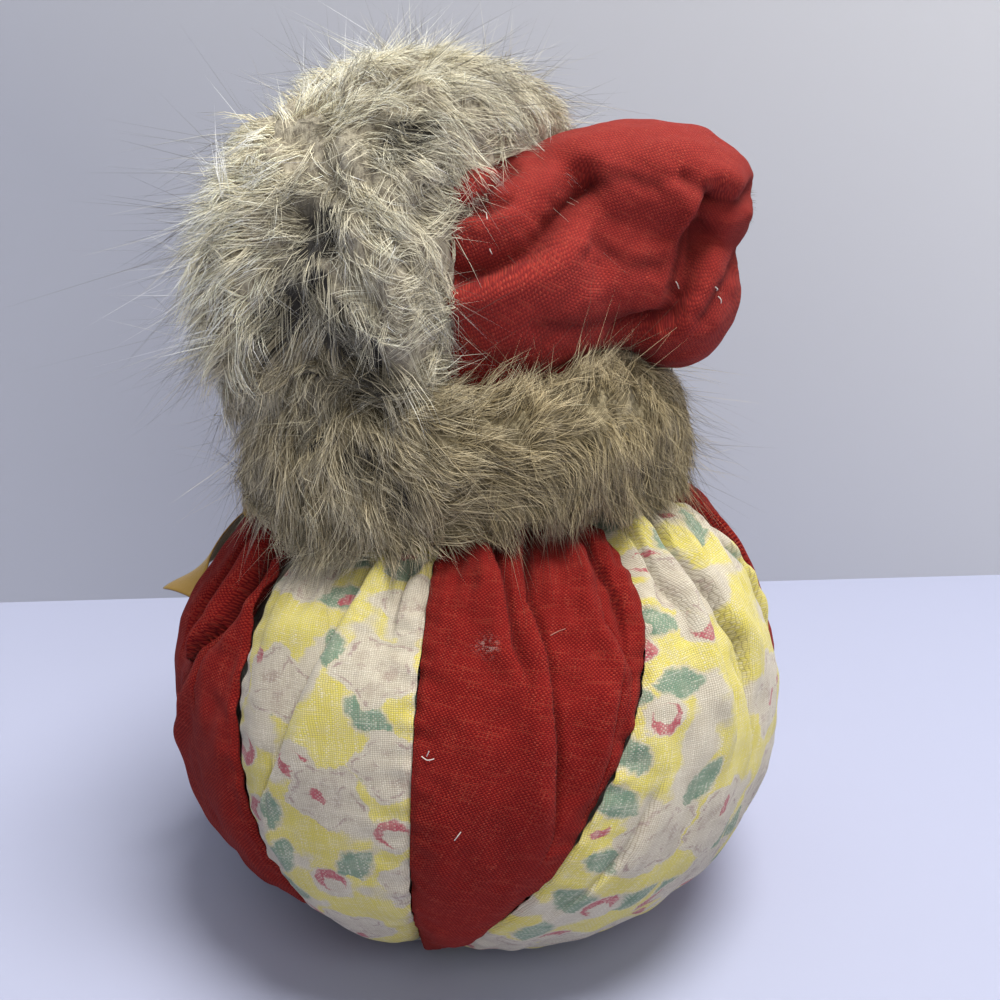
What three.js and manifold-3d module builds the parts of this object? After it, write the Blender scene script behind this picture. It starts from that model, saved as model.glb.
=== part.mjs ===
import * as THREE from "three";
import { mergeVertices } from "three/addons/utils/BufferGeometryUtils.js";
import Module from "manifold-3d";

const wasm = await Module();
wasm.setup();

// A stuffed doll: a ball of sewn gores carries a hooded, fur-trimmed head with a flopped cap.
// Sizes are in millimetres, angles in degrees. +Z is up, the doll faces -Y, and its left is +X.

// Cloth and clearances
const clothThick = 0.8;
const touchGap = 0.3;
const turnGap = 0.8;
const stuffingSlack = 0.5;
const facetSlack = 0.15;

// Ball body
const bodyRadius = 62;
const waistHeight = 45;
const waistToCrown = 48;
const bodyFullness = 2.2;
const neckDip = 3;
const neckDipSpan = 22;
const seamDepth = 1.8;
const seamWidth = 5;
const pleatDepth = 1.7;
const pleatStart = 0.45;
const pleatFull = 0.85;
const grooveFull = 0.2;
const rimFadeStart = 0.9;
const patchSpan = 8;
const baseLean = 30;
const baseLeanAzimuth = 10;
const threadRadius = 0.6;

// Each seam runs from the base to the neck through these azimuths.
const seams = [
  { base: -20, waist: -17, neck: -32 },
  { base: 20, waist: 19.5, neck: 16 },
  { base: 30, waist: 52.5, neck: 80 },
  { base: 100, waist: 112, neck: 122 },
  { base: 158, waist: 161, neck: 164 },
  { base: 208, waist: 208, neck: 208 },
  { base: 256, waist: 253, neck: 250 },
  { base: 305, waist: 300, neck: 290 },
];
// The gore that follows each seam, with its number of pleats at the neck.
const gores = [
  { name: "gore_floral_1", pleats: 2 },
  { name: "gore_red_2", pleats: 3 },
  { name: "gore_floral_2", pleats: 3 },
  { name: "gore_red_3", pleats: 2 },
  { name: "gore_floral_3", pleats: 2 },
  { name: "gore_red_4", pleats: 2 },
  { name: "gore_floral_4", pleats: 2 },
  { name: "gore_red_1", pleats: 3 },
];
const goreColumns = 10;
const goreRows = 13;

// Head, neck and face
const neckRadius = 18;
const neckSides = 36;
const headSides = [24, 14];
const neckTuck = 4;
const headRadius = 26;
const headLift = 32;
const headForward = 1;
const faceRadius = 17;
const eyeRadius = 2;
const eyeAzimuth = 17;
const eyeRise = 10;
const noseRadius = 3.2;
const headTurn = 20;

// Fur collar: the beard in front and the hair behind
const collarThick = 17;
const collarMiddle = 95.5;
const collarRise = 22;
const collarFullness = 2.3;
const beardStart = 195;
const beardEnd = 345;
// The collar's outer radius and its fall below the middle at each azimuth. In between they run smoothly.
const collarReach = [
  { azimuth: -90, radius: 46, fall: 20 },
  { azimuth: -20, radius: 47.5, fall: 20 },
  { azimuth: 32, radius: 39, fall: 14 },
  { azimuth: 80, radius: 39.5, fall: 12 },
  { azimuth: 130, radius: 43.5, fall: 13 },
  { azimuth: 200, radius: 43.5, fall: 18 },
  { azimuth: 270, radius: 46, fall: 20 },
];
const furLift = 2 * threadRadius + 2 * touchGap;

// Fur trim round the face
const trimRadius = 28.5;
const trimForward = 15.5;
const trimLean = 3;
const trimSpan = 99;
const trimCrownWidth = 48;
const trimSideWidth = 52;
const trimHalfDepth = 15.5;
const trimCrownRise = 8;
const trimFullness = 2.5;
const trimSteps = 22;
const trimSides = 16;
// The hair parts in a hollow that wanders along the trim's outside.
const partingDepth = 5;
const partingSpan = 20;
const partingMiddle = 97;
const partingSways = [
  { reach: 16, rate: 2.7, start: 46 },
  { reach: 7, rate: 6.1, start: 0 },
];

// Cap: lobes of the flopped bag, placed along the flop, to its side and above the neck's rim
const capAzimuth = 120;
const capLobes = [
  { along: 6, side: 3, up: 41, half: [22, 26.5, 19.5], pitch: 0 },
  { along: 9, side: 2, up: 52, half: [18, 18, 12.5], pitch: 0 },
  { along: 1, side: 13.5, up: 57.5, half: [9, 6.5, 5.8], pitch: 8 },
  { along: 29, side: 0, up: 58, half: [22.5, 16, 11.3], pitch: 0 },
  { along: 20, side: 1, up: 43.5, half: [21, 18.5, 16.2], pitch: -6 },
  { along: 37.5, side: -1, up: 38, half: [12.6, 16, 15.2], pitch: 0 },
  { along: 46, side: -1, up: 52.5, half: [5.6, 10, 6.4], pitch: 0 },
];
const pompomRadius = 6.5;
const pompomSide = -13;
const lobeSides = [13, 9];
const beadSides = [12, 8];

// Ribbon bow under the beard
const ribbonWidth = 8;
const ribbonThick = 0.8;
const ribbonLift = 1;
const ribbonKnot = 3.6;
const knotFlatness = 0.75;
const knotPolar = 44;
const loopRise = 3.4;
const tailCurl = 4.2;
// Angles from the knot, to the side and down the body, and the share of the rise or of the curl there.
const loopRoute = [
  [4, 0, 0],
  [14, 0, 0],
  [28, 2, 0],
  [38, 3, 0.5],
  [28, 2, 1],
  [14, 0, 1],
  [4, 0, 1],
];
const tailRoute = [
  [6, 6, 0],
  [12, 17, 0],
  [19, 25, 0.15],
  [29, 29, 1],
];
const bowHeight = ribbonLift + 2 * ribbonKnot * knotFlatness;
const bowHalfAngle = loopRoute[3][0] + headTurn + 6;

const red = new THREE.Color(0.42, 0.07, 0.06);
const yellow = new THREE.Color(0.72, 0.62, 0.28);
const wadding = new THREE.Color(0.8, 0.78, 0.72);
const paleFur = new THREE.Color(0.52, 0.47, 0.38);
const brownFur = new THREE.Color(0.3, 0.25, 0.16);
const skin = new THREE.Color(0.72, 0.5, 0.38);
const gold = new THREE.Color(0.42, 0.31, 0.12);
const black = new THREE.Color(0.02, 0.02, 0.02);

const rad = THREE.MathUtils.degToRad;
const part = new THREE.Group();

function addMesh(name, geometry, color, roughness, parent = part) {
  const material = new THREE.MeshStandardMaterial({ color, roughness, metalness: 0 });
  const mesh = new THREE.Mesh(geometry, material);
  mesh.name = name;
  parent.add(mesh);
  return mesh;
}

// Solids: joins and cuts of closed geometries

function toSolid(geometry) {
  const bare = geometry.clone();
  bare.deleteAttribute("normal");
  bare.deleteAttribute("uv");
  const merged = mergeVertices(bare, 1e-4);
  return new wasm.Manifold(
    new wasm.Mesh({
      numProp: 3,
      vertProperties: new Float32Array(merged.attributes.position.array),
      triVerts: new Uint32Array(merged.index.array),
    }),
  );
}

function toGeometry(solid) {
  const pieces = solid.decompose();
  const largest = pieces.reduce((best, piece) => (piece.volume() > best.volume() ? piece : best));
  const mesh = largest.getMesh();
  const points = new Float32Array(mesh.numVert * 3);
  for (let i = 0; i < mesh.numVert; i++) {
    const from = i * mesh.numProp;
    points.set(mesh.vertProperties.subarray(from, from + 3), i * 3);
  }
  const geometry = new THREE.BufferGeometry();
  geometry.setAttribute("position", new THREE.BufferAttribute(points, 3));
  geometry.setIndex(new THREE.BufferAttribute(mesh.triVerts, 1));
  geometry.computeVertexNormals();
  return geometry;
}

function joined(solids) {
  return solids.reduce((sum, solid) => sum.add(solid));
}

function ellipsoid(centre, half, turn, sides) {
  const geometry = new THREE.SphereGeometry(1, sides[0], sides[1]);
  geometry.rotateX(Math.PI / 2);
  geometry.scale(half.x, half.y, half.z);
  geometry.applyMatrix4(turn);
  geometry.translate(centre.x, centre.y, centre.z);
  return toSolid(geometry);
}

function ball(centre, radius, sides) {
  const half = new THREE.Vector3(radius, radius, radius);
  return ellipsoid(centre, half, new THREE.Matrix4(), sides);
}

// A closed solid through rings of points, with a fan over each end.
function ringSolid(rings) {
  const count = rings[0].length;
  const points = [];
  const faces = [];
  for (const ring of rings) {
    for (const p of ring) points.push(p.x, p.y, p.z);
  }
  for (let i = 0; i + 1 < rings.length; i++) {
    for (let j = 0; j < count; j++) {
      const a = i * count + j;
      const b = i * count + ((j + 1) % count);
      faces.push(a, b, b + count, a, b + count, a + count);
    }
  }
  const last = (rings.length - 1) * count;
  for (let j = 1; j + 1 < count; j++) {
    faces.push(0, j + 1, j);
    faces.push(last, last + j, last + j + 1);
  }
  const geometry = new THREE.BufferGeometry();
  geometry.setAttribute("position", new THREE.Float32BufferAttribute(points, 3));
  geometry.setIndex(faces);
  return geometry;
}

// A revolved solid from [radius, height] pairs that run up the outside from the axis to the axis.
function revolved(profile, segments = 32) {
  const points = profile.map(([r, z]) => new THREE.Vector2(r, z));
  const geometry = new THREE.LatheGeometry(points, segments);
  geometry.rotateX(Math.PI / 2);
  return geometry;
}

// A wedge of the round space about the Z axis, between two azimuths.
function wedge(from, to, reach, low, high) {
  const shape = new THREE.Shape();
  shape.moveTo(0, 0);
  const steps = 12;
  for (let i = 0; i <= steps; i++) {
    const angle = rad(from + ((to - from) * i) / steps);
    shape.lineTo(reach * Math.cos(angle), reach * Math.sin(angle));
  }
  shape.closePath();
  const geometry = new THREE.ExtrudeGeometry(shape, { depth: high - low, bevelEnabled: false });
  geometry.translate(0, 0, low);
  return toSolid(geometry);
}

// Body surface: a full ball, flat where it stands and drawn in at the neck

const waistPoint = new THREE.Vector3(0, 0, waistHeight);

// How far the plain surface lies from the waist's middle, at an angle from straight up.
function bodyReach(polar) {
  const across = Math.sin(polar) / bodyRadius;
  const up = Math.abs(Math.cos(polar)) / waistToCrown;
  const plain = (across ** bodyFullness + up ** bodyFullness) ** (-1 / bodyFullness);
  const dip = Math.max(0, 1 - Math.max(0, polar - rimPolarGuess) / rad(neckDipSpan));
  return plain - neckDip * dip * dip;
}

function floorReach(direction, floor) {
  return direction.z < 0 ? (waistHeight - floor) / -direction.z : Infinity;
}

const rimRadius = neckRadius + turnGap;
const rimPolarGuess = Math.atan2(rimRadius, waistToCrown - neckDip);

// The angle from straight up at which the surface has this radius, found by halving.
function polarAtRadius(radius) {
  let low = 0;
  let high = Math.PI / 2;
  for (let i = 0; i < 50; i++) {
    const middle = (low + high) / 2;
    if (bodyReach(middle) * Math.sin(middle) < radius) low = middle;
    else high = middle;
  }
  return low;
}

const rimPolar = polarAtRadius(rimRadius);
const rimHeight = waistHeight + bodyReach(rimPolar) * Math.cos(rimPolar);

// The body's outline grown by a clearance, as a profile from the base's middle to the crown's.
function bodyProfile(grow, floor, top) {
  const steps = 18;
  const profile = [[0, floor]];
  for (let i = 1; i < steps; i++) {
    const polar = Math.PI * (1 - i / steps);
    const direction = new THREE.Vector3(Math.sin(polar), 0, Math.cos(polar));
    const reach = Math.min(bodyReach(polar) + grow, floorReach(direction, floor));
    const z = Math.min(waistHeight + reach * direction.z, top);
    profile.push([reach * direction.x, z]);
  }
  profile.push([0, profile[profile.length - 1][1]]);
  return profile;
}

// Gores

// A direction from the waist's middle: up is 0 at the base pole and 1 at the neck's rim.
function goreDirection(azimuth, up) {
  const baseEdge = rad(patchSpan);
  const rimEdge = Math.PI - rimPolar;
  const fromBase = baseEdge + up * (rimEdge - baseEdge);
  const lean = rad(baseLean) * (1 - Math.min(1, up));
  const direction = new THREE.Vector3(
    Math.sin(fromBase) * Math.cos(rad(azimuth)),
    Math.sin(fromBase) * Math.sin(rad(azimuth)),
    -Math.cos(fromBase),
  );
  const across = rad(baseLeanAzimuth);
  const axis = new THREE.Vector3(Math.sin(across), -Math.cos(across), 0);
  return direction.applyAxisAngle(axis, lean);
}

function seamAzimuth(seam, up) {
  const base = seam.base * (1 - up) * (1 - 2 * up);
  const waist = seam.waist * 4 * up * (1 - up);
  const neck = seam.neck * up * (2 * up - 1);
  return base + waist + neck;
}

function smooth(from, to, x) {
  return THREE.MathUtils.smoothstep(x, from, to);
}

// How far the cloth is drawn in, across is 0 and 1 at the gore's two seams.
function drawIn(across, up, goreWidth, pleats) {
  const fromSeam = Math.min(across, 1 - across) * goreWidth;
  const groove = 0.5 * Math.exp(-((fromSeam / seamWidth) ** 2)) + 0.5 * (1 - Math.sin(Math.PI * across));
  const pleat = 0.5 * (1 - Math.cos(2 * Math.PI * pleats * across));
  const grooved = seamDepth * groove * smooth(0, grooveFull, up);
  const pleated = pleatDepth * pleat * smooth(pleatStart, pleatFull, up);
  return (grooved + pleated) * (1 - smooth(rimFadeStart, 1, up));
}

function clothPoint(direction, reach, depth) {
  const limit = floorReach(direction, depth);
  return waistPoint.clone().addScaledVector(direction, Math.min(reach - depth, limit));
}

function goreGeometry(index) {
  const left = seams[index];
  const next = seams[(index + 1) % seams.length];
  const turn = next.waist < left.waist ? 360 : 0;
  const right = { base: next.base + turn, waist: next.waist + turn, neck: next.neck + turn };
  const goreWidth = bodyRadius * rad(right.waist - left.waist);
  const layers = [0, clothThick].map((depth) => {
    const points = [];
    for (let row = 0; row <= goreRows; row++) {
      const up = row / goreRows;
      const from = seamAzimuth(left, up);
      const to = seamAzimuth(right, up);
      for (let column = 0; column <= goreColumns; column++) {
        const even = column / goreColumns;
        const across = (even + 0.5 * (1 - Math.cos(Math.PI * even))) / 2;
        const fromBase = rad(patchSpan) + up * (Math.PI - rimPolar - rad(patchSpan));
        const rowRadius = bodyRadius * Math.sin(fromBase);
        const edge = THREE.MathUtils.radToDeg(touchGap / 2 / rowRadius);
        const azimuth = from + edge + across * (to - from - 2 * edge);
        const direction = goreDirection(azimuth, up);
        const polar = Math.acos(direction.z);
        const reach = bodyReach(polar) - drawIn(across, up, goreWidth, gores[index].pleats);
        points.push(clothPoint(direction, reach, depth));
      }
    }
    return points;
  });
  return sheetGeometry(layers[0], layers[1], goreColumns, goreRows);
}

// A closed sheet between an outer and an inner grid of points.
function sheetGeometry(outer, inner, columns, rows) {
  const points = [...outer, ...inner].flatMap((p) => [p.x, p.y, p.z]);
  const under = outer.length;
  const at = (row, column) => row * (columns + 1) + column;
  const faces = [];
  for (let row = 0; row < rows; row++) {
    for (let column = 0; column < columns; column++) {
      const a = at(row, column);
      const b = at(row, column + 1);
      const c = at(row + 1, column + 1);
      const d = at(row + 1, column);
      faces.push(a, b, c, a, c, d);
      faces.push(under + a, under + c, under + b, under + a, under + d, under + c);
    }
  }
  const rim = (a, b) => faces.push(a, under + a, under + b, a, under + b, b);
  for (let column = 0; column < columns; column++) {
    rim(at(0, column), at(0, column + 1));
    rim(at(rows, column + 1), at(rows, column));
  }
  for (let row = 0; row < rows; row++) {
    rim(at(row + 1, 0), at(row, 0));
    rim(at(row, columns), at(row + 1, columns));
  }
  const geometry = new THREE.BufferGeometry();
  geometry.setAttribute("position", new THREE.Float32BufferAttribute(points, 3));
  geometry.setIndex(faces);
  return geometry;
}

// The round insert where the gores' lower points meet.
function patchGeometry() {
  const sides = 24;
  const span = rad(patchSpan) - (2 * touchGap) / waistHeight;
  const rings = [];
  const axis = new THREE.Vector3(Math.sin(rad(baseLeanAzimuth)), -Math.cos(rad(baseLeanAzimuth)), 0);
  const outside = [0.02, 0.5, 1].map((share) => [share, 0]);
  const inside = [1, 0.5, 0.02].map((share) => [share, clothThick]);
  for (const [share, depth] of [...outside, ...inside]) {
    const ring = [];
    for (let i = 0; i < sides; i++) {
      const azimuth = (2 * Math.PI * i) / sides;
      const fromBase = span * share;
      const direction = new THREE.Vector3(
        Math.sin(fromBase) * Math.cos(azimuth),
        Math.sin(fromBase) * Math.sin(azimuth),
        -Math.cos(fromBase),
      ).applyAxisAngle(axis, rad(baseLean));
      ring.push(clothPoint(direction, bodyReach(Math.acos(direction.z)), depth));
    }
    rings.push(ring);
  }
  return ringSolid(rings);
}

function addBody() {
  gores.forEach((gore, index) => {
    const color = gore.name.includes("red") ? red : yellow;
    addMesh(gore.name, goreGeometry(index), color, 0.9);
  });
  addMesh("base_patch", patchGeometry(), red, 0.9);

  const inset = seamDepth + pleatDepth + clothThick + touchGap + stuffingSlack;
  const filling = bodyProfile(-inset, clothThick + touchGap, rimHeight - neckTuck - touchGap);
  addMesh("body_stuffing", revolved(filling), wadding, 1);

  const ringRadius = rimRadius + 2 * threadRadius;
  const ringPolar = polarAtRadius(ringRadius);
  const ringHeight = waistHeight + bodyReach(ringPolar) * Math.cos(ringPolar) + threadRadius + touchGap;
  const thread = new THREE.TorusGeometry(ringRadius, threadRadius, 5, 36);
  addMesh("neck_thread", thread, red, 0.8).position.z = ringHeight;
}

// Head

const headCentre = new THREE.Vector3(0, -headForward, rimHeight + headLift);
const neckSeat = rimHeight - neckTuck;

// The head's ball on its neck, smaller than the hood's outside by an inset.
function headSolid(inset) {
  return ball(headCentre, headRadius - inset, headSides).add(neckBar(neckRadius - inset, neckSeat));
}

function faceOpening(radius) {
  const length = 2 * headRadius;
  const opening = new THREE.CylinderGeometry(radius, radius, length, 32);
  opening.translate(headCentre.x, headCentre.y - length / 2, headCentre.z);
  return toSolid(opening);
}

// A round bar about the neck's axis, from below the neck's seat to the head's middle.
function neckBar(radius, low) {
  const length = headCentre.z - low;
  const bar = new THREE.CylinderGeometry(radius, radius, length, neckSides);
  bar.rotateX(Math.PI / 2);
  bar.translate(0, 0, low + length / 2);
  return toSolid(bar);
}

// A point on the face, turned to the doll's left and raised, at a distance from the head's middle.
function facePoint(azimuth, rise, reach) {
  return new THREE.Vector3(
    headCentre.x + reach * Math.sin(rad(azimuth)) * Math.cos(rad(rise)),
    headCentre.y - reach * Math.cos(rad(azimuth)) * Math.cos(rad(rise)),
    headCentre.z + reach * Math.sin(rad(rise)),
  );
}

const headRoom = ball(headCentre, headRadius + touchGap + facetSlack, headSides);
const noseCentre = facePoint(0, 0, headRadius + noseRadius / 3);
const noseRoom = ball(noseCentre, noseRadius + 2 * touchGap, lobeSides);

function addHead(parent) {
  const inner = headSolid(clothThick);
  const shell = headSolid(0).subtract(inner).subtract(neckBar(neckRadius - clothThick, 0));
  addMesh("hood", toGeometry(shell.subtract(faceOpening(faceRadius))), red, 0.9, parent);
  const face = shell.intersect(faceOpening(faceRadius - touchGap));
  addMesh("face_cloth", toGeometry(face), skin, 0.9, parent);
  addMesh("head_stuffing", toGeometry(headSolid(clothThick + touchGap)), wadding, 1, parent);

  for (const [name, side] of [["eye_left", 1], ["eye_right", -1]]) {
    const bead = ball(facePoint(side * eyeAzimuth, eyeRise, headRadius + touchGap), eyeRadius, beadSides);
    addMesh(name, toGeometry(bead.subtract(headRoom)), black, 0.15, parent);
  }
  const nose = ball(noseCentre, noseRadius, lobeSides).subtract(headRoom);
  addMesh("nose", toGeometry(nose), skin, 0.8, parent);
}

// Fur

// The collar's radius and fall at an azimuth.
function collarAt(azimuth) {
  const turned = azimuth > 270 ? azimuth - 360 : azimuth;
  const next = Math.max(1, collarReach.findIndex((point) => point.azimuth >= turned));
  const from = collarReach[next - 1];
  const to = collarReach[next];
  const share = smooth(from.azimuth, to.azimuth, turned);
  return {
    radius: from.radius + (to.radius - from.radius) * share,
    fall: from.fall + (to.fall - from.fall) * share,
  };
}

// The collar's ring before it is cut: a full rounded section about the neck's axis, grown by a clearance.
function collarRing(grow) {
  const steps = 12;
  const profile = [[0, collarMiddle - collarRise - grow]];
  for (let i = 0; i <= steps; i++) {
    const turn = Math.PI * (i / steps - 0.5);
    const across = Math.cos(turn) ** (2 / collarFullness);
    const up = Math.sign(turn) * Math.abs(Math.sin(turn)) ** (2 / collarFullness);
    profile.push([1 + across * (collarThick + grow), collarMiddle + up * (collarRise + grow)]);
  }
  profile.push([0, collarMiddle + collarRise + grow]);
  return toSolid(revolved(profile, 36)).warp((point) => {
    const azimuth = THREE.MathUtils.radToDeg(Math.atan2(point[1], point[0]));
    const collar = collarAt(azimuth < -90 ? azimuth + 360 : azimuth);
    const fall = (collar.fall + grow) / (collarRise + grow);
    if (point[2] < collarMiddle) point[2] = collarMiddle + (point[2] - collarMiddle) * fall;
    const radius = Math.hypot(point[0], point[1]);
    if (radius < 0.5) return;
    const reach = collar.radius - collarThick - 1;
    point[0] *= (radius + reach) / radius;
    point[1] *= (radius + reach) / radius;
  });
}

function collarSolids(grow) {
  const low = waistHeight;
  const high = headCentre.z + headRadius;
  const reach = 2 * bodyRadius;
  const side = THREE.MathUtils.radToDeg(touchGap / collarAt(beardStart).radius);
  const front = wedge(beardStart - side, beardEnd + side, reach, low, high);
  const frontInner = wedge(beardStart + side, beardEnd - side, reach, low, high);
  return {
    beard: collarRing(grow).intersect(frontInner),
    hair: collarRing(grow).subtract(front),
  };
}

const bodyRoom = toSolid(revolved(bodyProfile(furLift, 0, Infinity)));
const bowRoom = toSolid(revolved(bodyProfile(bowHeight + turnGap, 0, Infinity))).intersect(
  wedge(270 - bowHalfAngle, 270 + bowHalfAngle, 2 * bodyRadius, 0, headCentre.z),
);
const neckRoom = neckBar(neckRadius + touchGap + facetSlack, 0).add(headRoom);

// A point on the trim's middle line, turned from the crown towards the doll's left.
function trimFrame(turn) {
  const up = new THREE.Vector3(0, Math.sin(rad(trimLean)), Math.cos(rad(trimLean)));
  const radial = new THREE.Vector3(Math.sin(turn), 0, 0).addScaledVector(up, Math.cos(turn));
  const normal = new THREE.Vector3(0, Math.cos(rad(trimLean)), -Math.sin(rad(trimLean)));
  const rise = trimCrownRise * Math.max(0, Math.cos(turn));
  const centre = new THREE.Vector3(0, -trimForward, headCentre.z);
  centre.addScaledVector(radial, trimRadius + rise / 2);
  const side = Math.sin(turn) ** 2;
  const width = trimCrownWidth + (trimSideWidth - trimCrownWidth) * side;
  return { centre, radial, normal, rise, width };
}

// A cosine with squarer shoulders.
function fullCosine(angle) {
  const cosine = Math.cos(angle);
  return Math.sign(cosine) * Math.abs(cosine) ** (2 / trimFullness);
}

// The section angle at which the hair parts, at a turn along the trim.
function partingAngle(turn) {
  const sways = partingSways.map(({ reach, rate, start }) => reach * Math.sin(rate * turn + rad(start)));
  return rad(partingMiddle + sways[0] + sways[1]);
}

function trimSolid(grow) {
  const endSteps = 2;
  const span = rad(trimSpan);
  const rings = [];
  for (let i = -endSteps; i <= trimSteps + endSteps; i++) {
    const inner = Math.min(Math.max(i, 0), trimSteps);
    const beyond = (i - inner) / endSteps;
    const turn = -span + (2 * span * inner) / trimSteps + (beyond * trimHalfDepth) / trimRadius;
    const round = Math.sqrt(Math.max(0.02, 1 - beyond * beyond));
    const { centre, radial, normal, rise, width } = trimFrame(turn);
    const ring = [];
    for (let j = 0; j < trimSides; j++) {
      const angle = (2 * Math.PI * j) / trimSides;
      const fromParting = (angle - partingAngle(turn)) / rad(partingSpan);
      const hollow = partingDepth * Math.exp(-(fromParting ** 2));
      const across = (width / 2 + grow) * round * fullCosine(angle);
      const depth = (trimHalfDepth + rise / 2 + grow) * fullCosine(angle - Math.PI / 2) - hollow;
      ring.push(centre.clone().addScaledVector(normal, across).addScaledVector(radial, depth * round));
    }
    rings.push(ring);
  }
  return toSolid(ringSolid(rings));
}

function furRooms(grow) {
  const { beard, hair } = collarSolids(grow);
  return beard.add(hair);
}

function addFur(parent) {
  const { beard, hair } = collarSolids(0);
  const bareRoom = neckRoom.add(noseRoom);
  const cut = (solid) => solid.subtract(bareRoom).subtract(bodyRoom).subtract(bowRoom);
  addMesh("beard", toGeometry(cut(beard)), paleFur, 1, parent);
  addMesh("back_hair", toGeometry(cut(hair)), brownFur, 1, parent);
  const trim = trimSolid(0).subtract(bareRoom).subtract(furRooms(touchGap));
  addMesh("hood_trim", toGeometry(trim), paleFur, 1, parent);
}

// Cap

const capFrame = new THREE.Matrix4().makeRotationZ(rad(capAzimuth - 90));

function capSolid(inset) {
  const lobes = capLobes.map((lobe) => {
    const centre = new THREE.Vector3(lobe.side, lobe.along, rimHeight + lobe.up).applyMatrix4(capFrame);
    const half = new THREE.Vector3(lobe.half[1] - inset, lobe.half[0] - inset, lobe.half[2] - inset);
    const turn = capFrame.clone().multiply(new THREE.Matrix4().makeRotationX(rad(lobe.pitch)));
    return ellipsoid(centre, half, turn, lobeSides);
  });
  return joined(lobes);
}

function addCap(parent) {
  const room = headRoom.add(trimSolid(touchGap)).add(furRooms(touchGap));
  const hollow = capSolid(clothThick);
  addMesh("cap_cloth", toGeometry(capSolid(0).subtract(hollow).subtract(room)), red, 0.9, parent);
  const filling = capSolid(clothThick + touchGap).subtract(room);
  addMesh("cap_stuffing", toGeometry(filling), wadding, 1, parent);

  const tip = capLobes[capLobes.length - 1];
  const centre = new THREE.Vector3(pompomSide, tip.along, rimHeight + tip.up).applyMatrix4(capFrame);
  const pompom = ball(centre, pompomRadius, lobeSides).subtract(capSolid(-touchGap));
  addMesh("cap_pompom", toGeometry(pompom), brownFur, 1, parent);
}

// Ribbon bow

// A point over the body's plain surface, at angles about the waist's middle.
function overBody(azimuth, polar, lift) {
  const direction = new THREE.Vector3(
    Math.sin(polar) * Math.cos(azimuth),
    Math.sin(polar) * Math.sin(azimuth),
    Math.cos(polar),
  );
  return waistPoint.clone().addScaledVector(direction, bodyReach(polar) + lift);
}

// A flat band along points [azimuth, polar, lift], lying flat on the body, or turned level towards its end.
function bandGeometry(route, steps, levelEnd) {
  const curve = new THREE.CatmullRomCurve3(
    route.map(([azimuth, polar, lift]) => overBody(rad(azimuth), rad(polar), lift)),
  );
  const rings = [];
  let side = null;
  for (let i = 0; i <= steps; i++) {
    const at = curve.getPointAt(i / steps);
    const along = curve.getTangentAt(i / steps);
    const out = at.clone().sub(waistPoint).normalize();
    if (levelEnd) out.lerp(new THREE.Vector3(0, 0, 1), smooth(0.45, 1, i / steps));
    if (!side || levelEnd) side = new THREE.Vector3().crossVectors(along, out).normalize();
    side.addScaledVector(along, -side.dot(along)).normalize();
    const face = new THREE.Vector3().crossVectors(side, along).normalize();
    const ring = [[-1, -1], [-1, 1], [1, 1], [1, -1]].map(([across, over]) =>
      at
        .clone()
        .addScaledVector(side, (across * ribbonWidth) / 2)
        .addScaledVector(face, (over * ribbonThick) / 2),
    );
    rings.push(ring);
  }
  return ringSolid(rings);
}

// A route from the knot to one side, at a lift over the body that a share of the rise adds to.
function bowBand(route, side, lift, rise, steps, levelEnd) {
  const points = route.map(([across, down, share]) => {
    return [270 + side * across, knotPolar + down, lift + share * rise];
  });
  return toSolid(bandGeometry(points, steps, levelEnd));
}

function addBow() {
  const knotCentre = overBody(rad(270), rad(knotPolar), ribbonLift + ribbonKnot * knotFlatness);
  const outward = knotCentre.clone().sub(waistPoint).normalize();
  const turn = new THREE.Matrix4().makeRotationX(Math.acos(outward.z));
  const half = new THREE.Vector3(ribbonKnot, ribbonKnot, ribbonKnot * knotFlatness);
  addMesh("ribbon_knot", toGeometry(ellipsoid(knotCentre, half, turn, beadSides)), gold, 0.5);
  const knotRoom = ellipsoid(knotCentre, half.clone().addScalar(touchGap), turn, beadSides);
  for (const [name, side] of [["left", 1], ["right", -1]]) {
    const loop = bowBand(loopRoute, side, ribbonLift + ribbonThick, loopRise, 18, false);
    addMesh("ribbon_loop_" + name, toGeometry(loop.subtract(knotRoom)), gold, 0.5);
    const tail = bowBand(tailRoute, side, ribbonLift, tailCurl, 22, true);
    addMesh("ribbon_tail_" + name, toGeometry(tail.subtract(knotRoom)), gold, 0.5);
  }
}

addBody();
const head = new THREE.Group();
part.add(head);
addHead(head);
addFur(head);
addCap(head);
addBow();

export default part;
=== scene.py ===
import math

import bmesh
import bpy
import numpy as np
from mathutils import Matrix, Vector


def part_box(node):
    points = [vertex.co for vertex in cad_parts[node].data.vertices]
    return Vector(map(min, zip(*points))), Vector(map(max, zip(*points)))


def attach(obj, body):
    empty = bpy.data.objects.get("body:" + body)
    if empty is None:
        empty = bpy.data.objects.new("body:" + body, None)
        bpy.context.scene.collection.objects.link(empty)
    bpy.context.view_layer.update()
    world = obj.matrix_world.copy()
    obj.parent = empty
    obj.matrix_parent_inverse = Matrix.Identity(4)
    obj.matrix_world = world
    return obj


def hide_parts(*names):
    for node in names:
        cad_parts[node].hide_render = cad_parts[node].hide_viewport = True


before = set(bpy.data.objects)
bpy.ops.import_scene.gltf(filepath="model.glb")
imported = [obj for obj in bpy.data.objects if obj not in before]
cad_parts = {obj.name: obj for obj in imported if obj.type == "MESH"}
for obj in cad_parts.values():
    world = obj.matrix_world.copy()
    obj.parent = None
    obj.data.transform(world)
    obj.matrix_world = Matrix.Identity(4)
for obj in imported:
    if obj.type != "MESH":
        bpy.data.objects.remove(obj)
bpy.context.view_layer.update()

# A stuffed doll with a ball body of sewn gores, fur round its face and neck, and a flopped cap.
# Sizes are in metres and angles in degrees. +Z is up, the doll faces -Y, its left is +X.

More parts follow.
